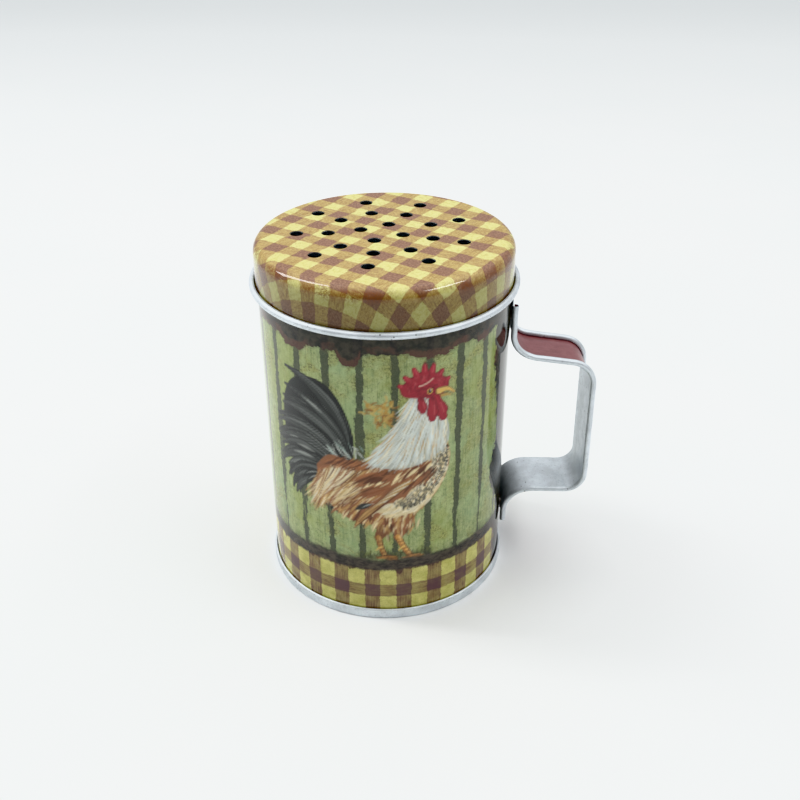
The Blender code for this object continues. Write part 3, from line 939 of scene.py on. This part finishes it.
def handle_section():
    """The strip's section (across, outwards), and each face's zone: 0 lacquered, 1 bare."""
    middle = HANDLE_HALF_WIDTH - HEM_R
    flat = np.linspace(0, middle, 17)[:-1]
    outside = arc((middle, HEM_R), HEM_R, -90, HEM_TURN, 26)
    inside = arc((middle, HEM_R), HEM_R - SHEET, -90, HEM_TURN, 26)[::-1]
    right = [*((a, 0.0) for a in flat), *outside, *inside, *((a, SHEET) for a in flat[::-1])]
    left = [(-a, out) for a, out in right[::-1][1:-1]]
    bare = [1] * (len(flat) + len(outside) - 1) + [0] * (len(inside) + len(flat))
    return np.array(right + left), np.array(bare + bare[::-1][1:] + [1])


def strip_handle(materials):
    """The handle: a strip with both edges rolled outwards, its tabs dimpled by the welds."""
    section, zones = handle_section()
    path = handle_path()
    travelled = np.concatenate([[0], np.cumsum(np.hypot(*np.diff(path[:, :2], axis=0).T))])
    across, outwards = section[:, 0], section[:, 1]
    rings = []
    for (x, z, normal, wrap), distance in zip(path, travelled):
        uneven = 0.025 * value_noise(distance / 3.1 + 7, np.sign(across) * 1.5 + 3.5, 21) - 0.055
        out = outwards * (1 + uneven)
        radius = TAB_R + out
        y = across + (radius * np.sin(across / TAB_R) - across) * wrap
        out = out + (radius * np.cos(across / TAB_R) - TAB_R - out) * wrap
        for height in WELD_HEIGHTS:
            from_weld = np.hypot(np.abs(across) - WELD_Y, z - height) / WELD_R
            flat_part = np.abs(across) < HANDLE_HALF_WIDTH - HEM_R
            out = out - 0.12 * wrap * flat_part * (outwards > 0) * np.clip(1.25 - from_weld, 0, 0.25) * 4
        rings.append(np.stack([x + out * math.cos(normal), y, z + out * math.sin(normal)], -1))
    count = len(section)
    index = np.arange(len(path) * count).reshape(len(path), count)
    after = np.roll(index, -1, 1)
    quads = np.stack([index[:-1], after[:-1], after[1:], index[1:]], -1).reshape(-1, 4)
    faces = [*quads.tolist(), index[0][::-1].tolist(), index[-1].tolist()]
    slots = [*np.tile(zones, len(path) - 1), 1, 1]
    rows = len(path)
    strip = np.stack([np.tile(across, rows), np.repeat(travelled, count), np.tile(outwards, rows)], -1)
    made = solid("strip_handle", np.concatenate(rings), faces, materials, slots, sharp=50,
                 points={"strip": strip})
    face_out(made)
    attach(made, "tin")
    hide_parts("handle")


def face_out(made):
    """Turns every face of a closed mesh outwards."""
    editing = bmesh.new()
    editing.from_mesh(made.data)
    bmesh.ops.recalc_face_normals(editing, faces=editing.faces)
    editing.to_mesh(made.data)
    editing.free()


# ---------------------------------------------------------------- materials


class Term:
    """One output of a node. Sums, products and the methods here add nodes that work on it."""

    def __init__(self, graph, socket):
        self.graph = graph
        self.socket = socket

    def __add__(self, other):
        return self.graph.math("ADD", self, other)

    def __radd__(self, other):
        return self.graph.math("ADD", other, self)

    def __sub__(self, other):
        return self.graph.math("SUBTRACT", self, other)

    def __rsub__(self, other):
        return self.graph.math("SUBTRACT", other, self)

    def __mul__(self, other):
        return self.graph.math("MULTIPLY", self, other)

    def __truediv__(self, other):
        return self.graph.math("DIVIDE", self, other)

    def __abs__(self):
        return self.graph.math("ABSOLUTE", self)

    def floor(self):
        return self.graph.math("FLOOR", self)

    def max(self, other):
        return self.graph.math("MAXIMUM", self, other)

    def pingpong(self, scale):
        return self.graph.math("PINGPONG", self, scale)

    def between(self, low, high):
        """0 below low, 1 above high, and smooth between; falling where low is the larger."""
        inputs = {"Value": self, "From Min": low, "From Max": high}
        return self.graph.node("ShaderNodeMapRange", inputs, interpolation_type="SMOOTHSTEP")

    def moved(self, x, y, z):
        return self.graph.vector("ADD", self, (x, y, z))

    def scaled(self, x, y, z):
        return self.graph.vector("MULTIPLY", self, (x, y, z))

    def split(self):
        """The three parts of a vector."""
        made = self.graph.tree.nodes.new("ShaderNodeSeparateXYZ")
        self.graph.feed(made.inputs[0], self)
        return [Term(self.graph, socket) for socket in made.outputs]

    def noise(self, scale, detail=2.0, roughness=0.5, distortion=0.0, output=0):
        inputs = {"Vector": self, "Scale": scale, "Detail": detail, "Roughness": roughness,
                  "Distortion": distortion}
        return self.graph.node("ShaderNodeTexNoise", inputs, output)

    def wobble(self, scale, size, detail=3):
        """Noise about 0, of about plus or minus half of size."""
        return (self.noise(scale, detail, 0.6) - 0.5) * size


class Graph:
    """A node tree that ends in one shader, written as expressions of terms."""

    def __init__(self, owner, shader, **sockets):
        owner.use_nodes = True
        self.owner = owner
        self.tree = owner.node_tree
        self.shader = self.tree.nodes[shader]
        self.drive(**sockets)

    def feed(self, socket, value):
        """Links a term to a socket, or sets a plain value there."""
        if isinstance(value, Term):
            self.tree.links.new(value.socket, socket)
        else:
            socket.default_value = value

    def drive(self, **sockets):
        """Sets or links the shader's own sockets."""
        for label, value in sockets.items():
            self.feed(self.shader.inputs[label.replace("_", " ")], value)

    def node(self, kind, inputs, output=0, **settings):
        """A new node with its inputs and settings, as the term of one output."""
        made = self.tree.nodes.new(kind)
        for label, value in settings.items():
            setattr(made, label, value)
        for key, value in inputs.items():
            self.feed(made.inputs[key], value)
        return Term(self, made.outputs[output])

    def attribute(self, name, output="Vector"):
        return self.node("ShaderNodeAttribute", {}, output, attribute_name=name)

    def place(self, output):
        return self.node("ShaderNodeTexCoord", {}, output)

    def math(self, operation, a, b=0.0):
        return self.node("ShaderNodeMath", {0: a, 1: b}, operation=operation)

    def vector(self, operation, a, b):
        return self.node("ShaderNodeVectorMath", {0: a, 1: b}, operation=operation)

    def joined(self, x, y, z=0.0):
        return self.node("ShaderNodeCombineXYZ", {0: x, 1: y, 2: z})

    def mix(self, share, a, b, blend="MIX"):
        """Colour a turning to colour b; colours are display colours, 0 to 255, or terms."""
        inputs = {0: share}
        for key, colour in ((6, a), (7, b)):
            inputs[key] = colour if isinstance(colour, Term) else rgba(colour)
        return self.node("ShaderNodeMix", inputs, 2, data_type="RGBA", blend_type=blend)

    def bump(self, height, depth, strength=1.0):
        inputs = {"Height": height, "Distance": depth * MM, "Strength": strength}
        return self.node("ShaderNodeBump", inputs)


def new_material(name, **sockets):
    """The graph of a new material, with uniform values for some of its shader's sockets."""
    return Graph(bpy.data.materials.new(name), "Principled BSDF", **sockets)


def rest_place(graph):
    """The rest position in mm, which a moving piece carries with it."""
    return graph.place("Object").scaled(1 / MM, 1 / MM, 1 / MM)


def bare_tin():
    """Satin tinplate: cool grey metal with soft blotches, rolling lines and a few dark specks."""
    graph = new_material("bare_tinplate", Metallic=1.0)
    at = rest_place(graph)
    cloud = at.noise(0.16, 4, 0.6)
    grain = at.scaled(1, 1, 0.25).noise(3.2, 3, 0.6)
    dark = tuple(part * 0.9 for part in TIN)
    colour = graph.mix(cloud.between(0.3, 0.7), dark, TIN)
    colour = graph.mix(grain.between(0.45, 0.75) * 0.25, colour, (222, 228, 232))
    cells = graph.node("ShaderNodeTexVoronoi", {"Vector": at, "Scale": 0.55})
    spots = cells.between(0.16, 0.08)
    chance = at.noise(0.24, 3, 0.7).between(0.56, 0.63)
    pits = at.noise(1.6, 4, 0.75).between(0.57, 0.66)
    colour = graph.mix(pits * 0.32, colour, (122, 126, 130))
    speck = spots * chance * 0.85
    colour = graph.mix(speck, colour, (52, 50, 48))
    rough = 0.46 + at.noise(0.7, 3, 0.6) * 0.26
    graph.drive(Base_Color=colour, Roughness=rough)
    graph.drive(Normal=graph.bump(at.noise(1.1, 4, 0.6), 0.03, 0.6))
    return graph.owner


def streaks(vector, along, across):
    """Brush streaks: noise drawn out along one direction of a flat vector."""
    return vector.scaled(across, along, 1).noise(1.0, 4, 0.65)


def check_bands(value, middle, period, half_width, uneven):
    """1 inside evenly spaced bands of a coordinate, with brushed edges."""
    from_middle = (value + uneven - middle).pingpong(period / 2)
    soft = 0.018 * period
    return from_middle.between(half_width + soft, half_width - soft)


VARNISHED = {"Coat_Weight": 1.0, "Coat_Roughness": 0.05, "Coat_IOR": 1.5, "Specular_IOR_Level": 0.0}


def varnish(sheet):
    """The slight unevenness of the clear varnish."""
    return sheet.graph.bump(sheet.noise(0.45, 3, 0.55), 0.012)


def lattice(graph, sheet):
    """How far along each axis of the lid's gingham, in its periods from a light square's middle."""
    x, y, _ = graph.vector("SUBTRACT", sheet, (*CHECK_START, 0)).split()
    (ax, ay), (bx, by) = (
        (period * math.cos(math.radians(angle)), period * math.sin(math.radians(angle)))
        for period, angle in CHECK_AXES
    )
    area = ax * by - ay * bx
    first = x * (by / area) + y * (-bx / area)
    second = x * (-ay / area) + y * (ax / area)
    return first, second


def gingham_lid():
    """Two crossing sets of brushed brown bands on yellow-green, set aslant on the lid."""
    graph = new_material("gingham_print", **VARNISHED)
    sheet = graph.attribute("sheet")
    first, second = lattice(graph, sheet)
    laid = graph.joined(first * 9.3, second * 9.3)

    fine = sheet.noise(2.6, 4, 0.7)
    grain = sheet.noise(0.9, 5, 0.72, 0.4)
    cloud = sheet.noise(0.1, 3, 0.6)
    inks = []
    for value, along, across, seed in ((first, 0.22, 2.4, 0.0), (second, 2.4, 0.22, 40.0)):
        placed = sheet.moved(seed, 0, 0)
        edge = placed.wobble(0.42, 0.12, 4)
        band = check_bands(value, 0.5, 1.0, 0.255, edge)
        rim = band.between(0.05, 0.5) * band.between(0.98, 0.6)
        inks.append((band, streaks(laid.moved(seed, 0, 0), along, across), rim))
    (band, brush, rim), (band_2, brush_2, rim_2) = inks

    light = graph.mix(grain.between(0.35, 0.7), LID_LIGHT, (196, 190, 112))
    light = graph.mix(cloud.between(0.45, 0.75) * 0.5, light, (222, 222, 150))
    washed = grain.between(0.55, 0.3) * 0.5
    sponged = sheet.noise(1.7, 5, 0.8)
    inked = []
    for stroke, dark in ((brush, (148, 114, 72)), (brush_2, (144, 110, 76))):
        mottled = stroke * 0.45 + sponged * 0.55
        ink = graph.mix(mottled.between(0.38, 0.62), dark, (190, 166, 102))
        inked.append(graph.mix(washed, ink, (206, 188, 122)))
    colour = graph.mix(band * 0.94, light, inked[0])
    colour = graph.mix(band_2 * 0.94, colour, inked[1])
    cross = graph.mix(sponged.between(0.38, 0.62), (112, 76, 68), (152, 114, 96))
    colour = graph.mix(band * band_2 * 0.88, colour, cross)
    colour = graph.mix(fine.between(0.45, 0.75) * 0.3, colour, (120, 84, 36))
    dirt = cloud.between(0.5, 0.72) * grain.between(0.42, 0.6)
    colour = graph.mix(dirt * 0.35, colour, (132, 92, 40))

    rims = rim.max(rim_2) * sheet.noise(0.3, 4, 0.7).between(0.46, 0.62)
    colour = graph.mix(rims * 0.6, colour, (116, 82, 38))
    # brown smudges round the shoulder, and painted shade down the skirt
    colour = shoulder_smudges_and_skirt_shade(graph, sheet, sponged, colour)

    worn = worn_off(sheet, graph.attribute("edge", "Fac"), 0.72)
    colour = graph.mix(worn, colour, TIN)
    colour = graph.mix(hairlines(sheet) * 0.3, colour, (226, 220, 190))
    # near black at the holes' rims and walls: partly painted shade inside the holes, partly a dark stain on
    # the punched edge
    colour = graph.mix(graph.attribute("punched", "Fac") * 0.92, colour, (26, 23, 22))
    graph.drive(Base_Color=colour, Metallic=worn, Normal=varnish(sheet))
    return graph.owner


def shoulder_smudges_and_skirt_shade(graph, sheet, sponged, colour):
    """The lid's colour with brown smudges round the shoulder, and painted shade that darkens it down the
    shoulder and skirt.
    """
    *_, height = rest_place(graph).split()
    smudge = sheet.moved(7, 3, 0).noise(0.11, 4, 0.65).between(0.42, 0.56)
    smudge = smudge * sponged.between(0.4, 0.56)
    shoulder = height.between(LID_TOP + 0.02, LID_TOP - 0.9) * height.between(LID_TOP - 4.6, LID_TOP - 2.4)
    smudge = smudge * shoulder
    colour = graph.mix(smudge * 0.75, colour, (122, 68, 36))
    # painted shade: the print is multiplied darker from the shoulder down the skirt, for the upright skirt
    # that gets less of the overhead light
    down = height.between(LID_TOP - 0.3, LID_TOP - 4.5)
    return graph.mix(down * 0.95, colour, (192, 192, 182), "MULTIPLY")


def worn_off(vector, edge, threshold):
    """Small chips that show bare tin, only where edge is high."""
    chips = vector.noise(1.7, 5, 0.75)
    return (chips * edge).between(threshold - 0.17, threshold - 0.13)


def hairlines(vector):
    """A few fine handling scratches."""
    graph = vector.graph
    bent = graph.vector("ADD", vector, vector.noise(0.05, 2, output=1).scaled(14, 14, 0))
    turned = graph.node("ShaderNodeVectorRotate", {"Vector": bent, "Angle": 0.7}, rotation_type="Z_AXIS")
    lines = turned.scaled(0.05, 2.4, 1).noise(1.0, 2, 0.4)
    patches = vector.noise(0.11, 2).between(0.56, 0.66)
    return lines.between(0.7, 0.74) * patches


def board_print(graph, sheet, u, z):
    """Upright painted boards, each with its own tint, and the fine mottle that other inks share."""
    from_gap = u - BOARD_U
    number = (from_gap / BOARD).floor()
    tint = graph.node("ShaderNodeTexWhiteNoise", {"W": number}, noise_dimensions="1D")
    fine = sheet.noise(2.4, 4, 0.7)
    colour = board_green(graph, sheet, z, tint, fine)
    return board_gaps(graph, sheet, z, from_gap, number, tint, fine, colour), fine


def board_green(graph, sheet, z, tint, fine):
    """The boards' painted face: brushed and mottled greens, spattered and worn."""
    mottle = sheet.noise(0.34, 5, 0.65, 0.3)
    cloud = sheet.noise(0.055, 3, 0.6)
    brush = streaks(sheet, 0.11, 1.5)

    colour = graph.mix(mottle.between(0.3, 0.68), BOARD_GREEN, BOARD_PALE)
    colour = graph.mix(cloud.between(0.48, 0.66) * 0.5, colour, BOARD_OCHRE)
    colour = graph.mix(tint * 0.4, colour, BOARD_GREY)
    colour = graph.mix(brush.between(0.45, 0.7) * 0.55, colour, (104, 120, 78))
    colour = graph.mix(brush.between(0.48, 0.22) * 0.4, colour, (186, 198, 148))
    colour = graph.mix(fine.between(0.5, 0.72) * 0.55, colour, (86, 102, 66))
    colour = graph.mix(fine.between(0.45, 0.26) * 0.45, colour, (196, 202, 148))

    spatter = sheet.moved(30, 60, 0).noise(0.85, 5, 0.8)
    colour = graph.mix(spatter.between(0.54, 0.62) * 0.45, colour, (84, 96, 62))
    colour = graph.mix(spatter.between(0.45, 0.37) * 0.35, colour, (190, 198, 150))
    drift = sheet.moved(90, 0, 0).noise(0.045, 3, 0.6)
    colour = graph.mix(drift.between(0.5, 0.64) * 0.5, colour, (152, 176, 130))
    colour = graph.mix(drift.between(0.48, 0.36) * 0.45, colour, (146, 156, 80))
    patches = sheet.noise(0.105, 4, 0.65, 0.5)
    worn = (patches + z.between(72, 88) * 0.06).between(0.53, 0.66)
    flecks = sheet.noise(1.5, 5, 0.8).between(0.48, 0.58)
    colour = graph.mix(worn * 0.45, colour, (164, 162, 92))
    return graph.mix(worn * flecks * 0.7, colour, (76, 78, 52))


def board_gaps(graph, sheet, z, from_gap, number, tint, fine, colour):
    """The dark lines between the boards, each swaying, ragged and broken in its own way."""
    sway = graph.joined(number * 3.7, z * 0.05).wobble(1.0, 1.5)
    rough_edge = sheet.scaled(1.3, 0.6, 1).wobble(1.0, 2.1, 5)
    wide = graph.joined(number * 9.1, z * 0.045).wobble(1.0, 2.2)
    wide = wide - tint * 0.3
    wide = wide - z.between(56, 30) * 0.3
    off = (from_gap + (sway + rough_edge)).pingpong(BOARD / 2)
    line = (off - wide).between(1.45, 1.05)
    dry = streaks(sheet, 0.3, 2.2)
    height_fade = z.between(22, 52)
    run = graph.joined(number * 5.3, z * 0.07).noise(1.0, 2)
    kept = (run + height_fade * 0.28).between(0.37, 0.63)
    ink = (dry + kept * 0.34).between(0.42, 0.66) * 0.9
    beside = off.between(3.0, 0.8) * sheet.noise(0.3, 3).between(0.42, 0.62)
    colour = graph.mix(beside * 0.35, colour, (92, 102, 66))
    gap = graph.mix(fine.between(0.3, 0.7), (48, 54, 42), (80, 86, 68))
    return graph.mix(line * ink, colour, gap)


def wall_gingham(graph, sheet, u, z, fine):
    """The brushed gingham along the foot."""
    edge = sheet.wobble(0.5, 1.3, 4)
    upright = check_bands(u, CHECK_U, BOARD, CHECK_HALF_WIDTH, edge)
    level = z - (CHECK_Z + sheet.wobble(0.35, 1.3, 4))
    level = abs(level).between(2.5, 2.1)
    brush = streaks(sheet, 0.16, 2.4)
    brush_2 = streaks(sheet, 2.4, 0.16)
    light = graph.mix(sheet.noise(0.3, 4, 0.6).between(0.3, 0.7), CHECK_LIGHT, (180, 176, 96))
    ink = graph.mix(brush.between(0.3, 0.7), (100, 70, 58), (128, 96, 74))
    ink_2 = graph.mix(brush_2.between(0.3, 0.7), (104, 78, 60), (134, 106, 72))
    wash = sheet.noise(0.16, 3, 0.6).between(0.35, 0.65) * 0.26
    dry = 0.58 + (wash + brush.between(0.68, 0.36) * 0.14)
    dry_2 = 0.56 + (wash + brush_2.between(0.68, 0.36) * 0.14)
    colour = graph.mix(upright * dry, light, ink)
    colour = graph.mix(level * dry_2, colour, ink_2)
    colour = graph.mix(upright * level * (0.66 + wash), colour, CHECK_CROSS)
    return graph.mix(fine.between(0.46, 0.76) * 0.3, colour, (92, 74, 44))


def lower_line(graph, sheet, u, z, fine, colour):
    """The dark wavy line between boards and gingham: soft haze above, red-brown fringe below."""
    slow = graph.joined(u * 0.07, 8.3).wobble(1.0, 3.2)
    ragged = sheet.wobble(0.8, 2.6, 5)
    above = z - (LINE_Z + slow)
    soft = sheet.scaled(0.3, 0.5, 1).noise(1.0, 4, 0.65)
    haze = above.between(5.6, 0.8) * above.between(-1.5, 0.2)
    haze = haze * soft.between(0.3, 0.62)
    colour = graph.mix(haze * 0.62, colour, (58, 62, 48))
    hanging = graph.joined(u * 0.11, 2.9).noise(1.0, 4, 0.6)
    low = z + hanging.between(0.52, 0.68) * 2.6 + ragged * 0.8
    fringe = low.between(18.0, 18.9) * above.between(1.4, 0.2)
    red = graph.mix(fine.between(0.3, 0.7), BAND_RED, (70, 48, 44))
    colour = graph.mix(fringe * 0.9, colour, red)
    core = abs(above + ragged * 0.5).between(2.7, 1.4)
    black = graph.mix(soft.between(0.35, 0.65), (40, 37, 36), (82, 74, 64))
    return graph.mix(core * 0.94, colour, black)


def dark_fields(graph, sheet, u, z, fine, colour):
    """The charcoal fields with torn, red-brown edges, under the lid and round the handle."""
    ragged = sheet.scaled(0.5, 0.8, 1).wobble(1.0, 3.6, 5)
    hanging = 0.0
    for chip_u, half, depth in TOP_CHIPS:
        off = abs(u - chip_u)
        hanging = graph.math("MAXIMUM", hanging, off.between(half, half * 0.35) * depth)
    into_top = z + (hanging + ragged) - TOP_FIELD_Z

    across = (u - HANDLE_U).pingpong(AROUND / 2)
    bulge = abs(z - 42).between(11, 1) * 3.6
    corner = z.between(52, 84) * 3.8
    waist = z.between(34, 27) * 2.6
    half_width = SIDE_FIELD_HALF + (bulge + corner - waist)
    ragged_2 = sheet.scaled(0.5, 0.35, 1).wobble(1.0, 5.5, 5)
    into_side = half_width - across + ragged_2

    inside = into_top.max(into_side)
    red_part = sheet.noise(0.13, 3).between(0.42, 0.58)
    red_part = red_part * z.between(70, 84)
    black = graph.mix(sheet.noise(0.5, 4).between(0.35, 0.65), BAND_DARK, (62, 56, 49))
    red = graph.mix(fine.between(0.3, 0.7), BAND_RED, (92, 64, 54))
    chipped = red_part.max(hanging.between(0.5, 1.5))
    edge_band = inside.between(2.9, 1.6) * chipped
    field = graph.mix(edge_band, black, red)
    colour = graph.mix(inside.between(-0.9, -0.2) * 0.35, colour, (92, 90, 62))
    return graph.mix(inside.between(-0.15, 0.3) * 0.96, colour, field)


def wall_print():
    """The wall's lithographed picture under its clear varnish."""
    graph = new_material("wall_print", **VARNISHED)
    sheet = graph.attribute("sheet")
    u, z, _ = sheet.split()
    colour, fine = board_print(graph, sheet, u, z)

    grain = graph.attribute("grain")
    hairs = grain.scaled(0.25, 3.0, 10).noise(1.0, 2, 0.6)
    paint = graph.attribute("paint", "Color")
    shade = hairs * 0.7 + 0.65
    paint = graph.vector("MULTIPLY", paint, graph.joined(shade, shade, shade))
    bared = 1.0 - graph.attribute("paint_cover", "Fac")
    under = graph.vector("MULTIPLY", colour, graph.joined(bared, bared, bared))
    colour = graph.vector("ADD", under, paint)

    in_gingham = (z + sheet.wobble(0.9, 1.0)).between(GINGHAM_TOP, GINGHAM_TOP - 0.6)
    colour = graph.mix(in_gingham, colour, wall_gingham(graph, sheet, u, z, fine))
    colour = lower_line(graph, sheet, u, z, fine, colour)
    colour = dark_fields(graph, sheet, u, z, fine, colour)

    rubbed = sheet.scaled(2.6, 0.12, 1).noise(1.0, 3, 0.6)
    rubbed = rubbed.between(0.62, 0.7) * z.between(97.5, 99)
    at_fold = (u - LOCK_U).pingpong(AROUND / 2)
    fold = at_fold.between(0.35, 0.1) * sheet.noise(0.9, 4).between(0.48, 0.6)
    bare = (rubbed * 0.7).max(fold)
    scratch = hairlines(sheet) * 0.3
    colour = graph.mix(scratch, colour, (196, 194, 176))
    graph.drive(Base_Color=graph.mix(bare, colour, TIN), Metallic=bare, Normal=varnish(sheet))
    return graph.owner


def handle_lacquer():
    """The strip's lacquered face: red-brown, scuffed, and worn to bare tin along its bends."""
    graph = new_material("handle_lacquer", Coat_Weight=0.35, Coat_Roughness=0.25)
    strip = graph.attribute("strip")
    across, *_ = strip.split()
    cloud = strip.noise(0.3, 4, 0.6)
    fine = strip.noise(2.2, 4, 0.7)
    drawn = streaks(strip, 0.12, 1.8)
    colour = graph.mix(cloud.between(0.3, 0.7), LACQUER_RED, (138, 86, 88))
    colour = graph.mix(drawn.between(0.45, 0.75) * 0.3, colour, (160, 112, 112))
    colour = graph.mix(fine.between(0.5, 0.8) * 0.35, colour, (98, 58, 58))
    near_hem = abs(across).between(HANDLE_HALF_WIDTH - 2.6, HANDLE_HALF_WIDTH - 1.6)
    worn = worn_off(strip, near_hem, 0.7)
    colour = graph.mix(worn, colour, TIN)
    graph.drive(
        Base_Color=colour, Metallic=worn, Roughness=0.34 + fine * 0.25,
        Normal=graph.bump(strip.noise(1.2, 4, 0.6), 0.02),
    )
    return graph.owner


def weld_steel():
    """A spot weld's face: darker, ringed with heat tint."""
    graph = new_material("weld_steel", Metallic=1.0)
    at = rest_place(graph)
    cloud = at.noise(1.4, 4, 0.7)
    colour = graph.mix(cloud.between(0.3, 0.7), (112, 108, 102), (168, 166, 164))
    burnt = at.noise(0.9, 3).between(0.55, 0.7)
    colour = graph.mix(burnt * 0.5, colour, (96, 72, 48))
    graph.drive(Base_Color=colour, Roughness=0.35 + cloud * 0.3)
    graph.drive(Normal=graph.bump(at.noise(3, 4, 0.7), 0.04))
    return graph.owner


def paper():
    """The pale studio sheet, painted darker towards the back as shade where the light falls off."""
    graph = new_material("studio_paper", Roughness=0.9)
    at = graph.place("Object")
    cloud = at.noise(9, 3, 0.5)
    colour = graph.mix(cloud.between(0.3, 0.7), (236, 238, 237), (239, 240, 239))
    _, back, _ = at.split()
    # painted shade: the sheet greys towards the back, standing in for the light falling off there
    colour = graph.mix(back.between(0.2, 1.0), colour, (214, 217, 217))
    graph.drive(Base_Color=colour, Normal=graph.bump(at.noise(900, 3, 0.6), 0.02))
    return graph.owner


# ---------------------------------------------------------------- studio


def floor():
    """A wide flat sheet that the tin stands on."""
    half = 6000  # mm
    verts = [(-half, -half, 0), (half, -half, 0), (half, half, 0), (-half, half, 0)]
    made = solid("studio_floor", verts, [[0, 1, 2, 3]], [paper()])


def soft_light(name, place, sides, power):
    """A rectangular lamp, in mm about the can's axis, turned towards the tin's middle."""
    lamp = bpy.data.lights.new(name, "AREA")
    lamp.shape = "RECTANGLE"
    lamp.size, lamp.size_y = (side * MM for side in sides)
    lamp.energy = power
    made = bpy.data.objects.new(name, lamp)
    bpy.context.scene.collection.objects.link(made)
    made.location = (Vector(place) + Vector((AXIS_X, 0, 0))) * MM
    made.rotation_euler = (Vector(LAMP_TARGET) - Vector(place)).to_track_quat("-Z", "Y").to_euler()


def studio():
    """A white tent: bright overhead and at the sides, dim in front, with two soft lamps."""
    world = bpy.data.worlds.new("studio_world")
    bpy.context.scene.world = world
    graph = Graph(world, "Background")
    x, y, z = graph.place("Generated").split()
    behind = y.between(-0.7, 0.1) * 0.75 + 0.25
    overhead = z.between(0.3, 0.85) * 1.6 * behind
    side = abs(x).between(0.5, 0.9)
    side = side * z.between(0.7, 0.3) * 0.55
    back = y.between(0.1, 0.8) * z.between(0.7, 0.3) * 0.45
    level = overhead + 0.08 + (side + back)
    graph.drive(Color=graph.joined(level * 0.97, level * 0.985, level))
    soft_light("lamp_left", (-610, 190, 780), (200, 640), 4.2)
    soft_light("lamp_right", (540, -200, 880), (560, 120), 2.6)
    floor()


def camera():
    """The photograph's view: a little above, from the front, the handle to the right."""
    lens = bpy.data.cameras.new("camera")
    lens.lens = CAMERA_LENS
    lens.sensor_width = 36
    lens.clip_start = 0.01
    made = bpy.data.objects.new("camera", lens)
    bpy.context.scene.collection.objects.link(made)
    made.location = (Vector(CAMERA_PLACE) + Vector((AXIS_X, 0, 0))) * MM
    yaw, pitch, roll = (math.radians(angle) for angle in CAMERA_ANGLES)
    forward = Vector((math.sin(yaw) * math.cos(pitch), math.cos(yaw) * math.cos(pitch), -math.sin(pitch)))
    right = Vector((math.cos(yaw), -math.sin(yaw), 0))
    up = right.cross(forward)
    image_right = math.cos(roll) * right + math.sin(roll) * up
    image_up = image_right.cross(forward)
    made.rotation_euler = Matrix((image_right, image_up, -forward)).transposed().to_euler()
    bpy.context.scene.camera = made


tin_finish = bare_tin()
body_wall([wall_print(), tin_finish])
base([tin_finish])
lid([gingham_lid(), tin_finish])
strip_handle([handle_lacquer(), tin_finish])

weld_finish = weld_steel()
for weld in ("upper_front", "upper_back", "lower_front", "lower_back"):
    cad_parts["spot_weld_" + weld].material_slots[0].material = weld_finish

studio()
camera()
bpy.context.scene.view_settings.view_transform = "Khronos PBR Neutral"
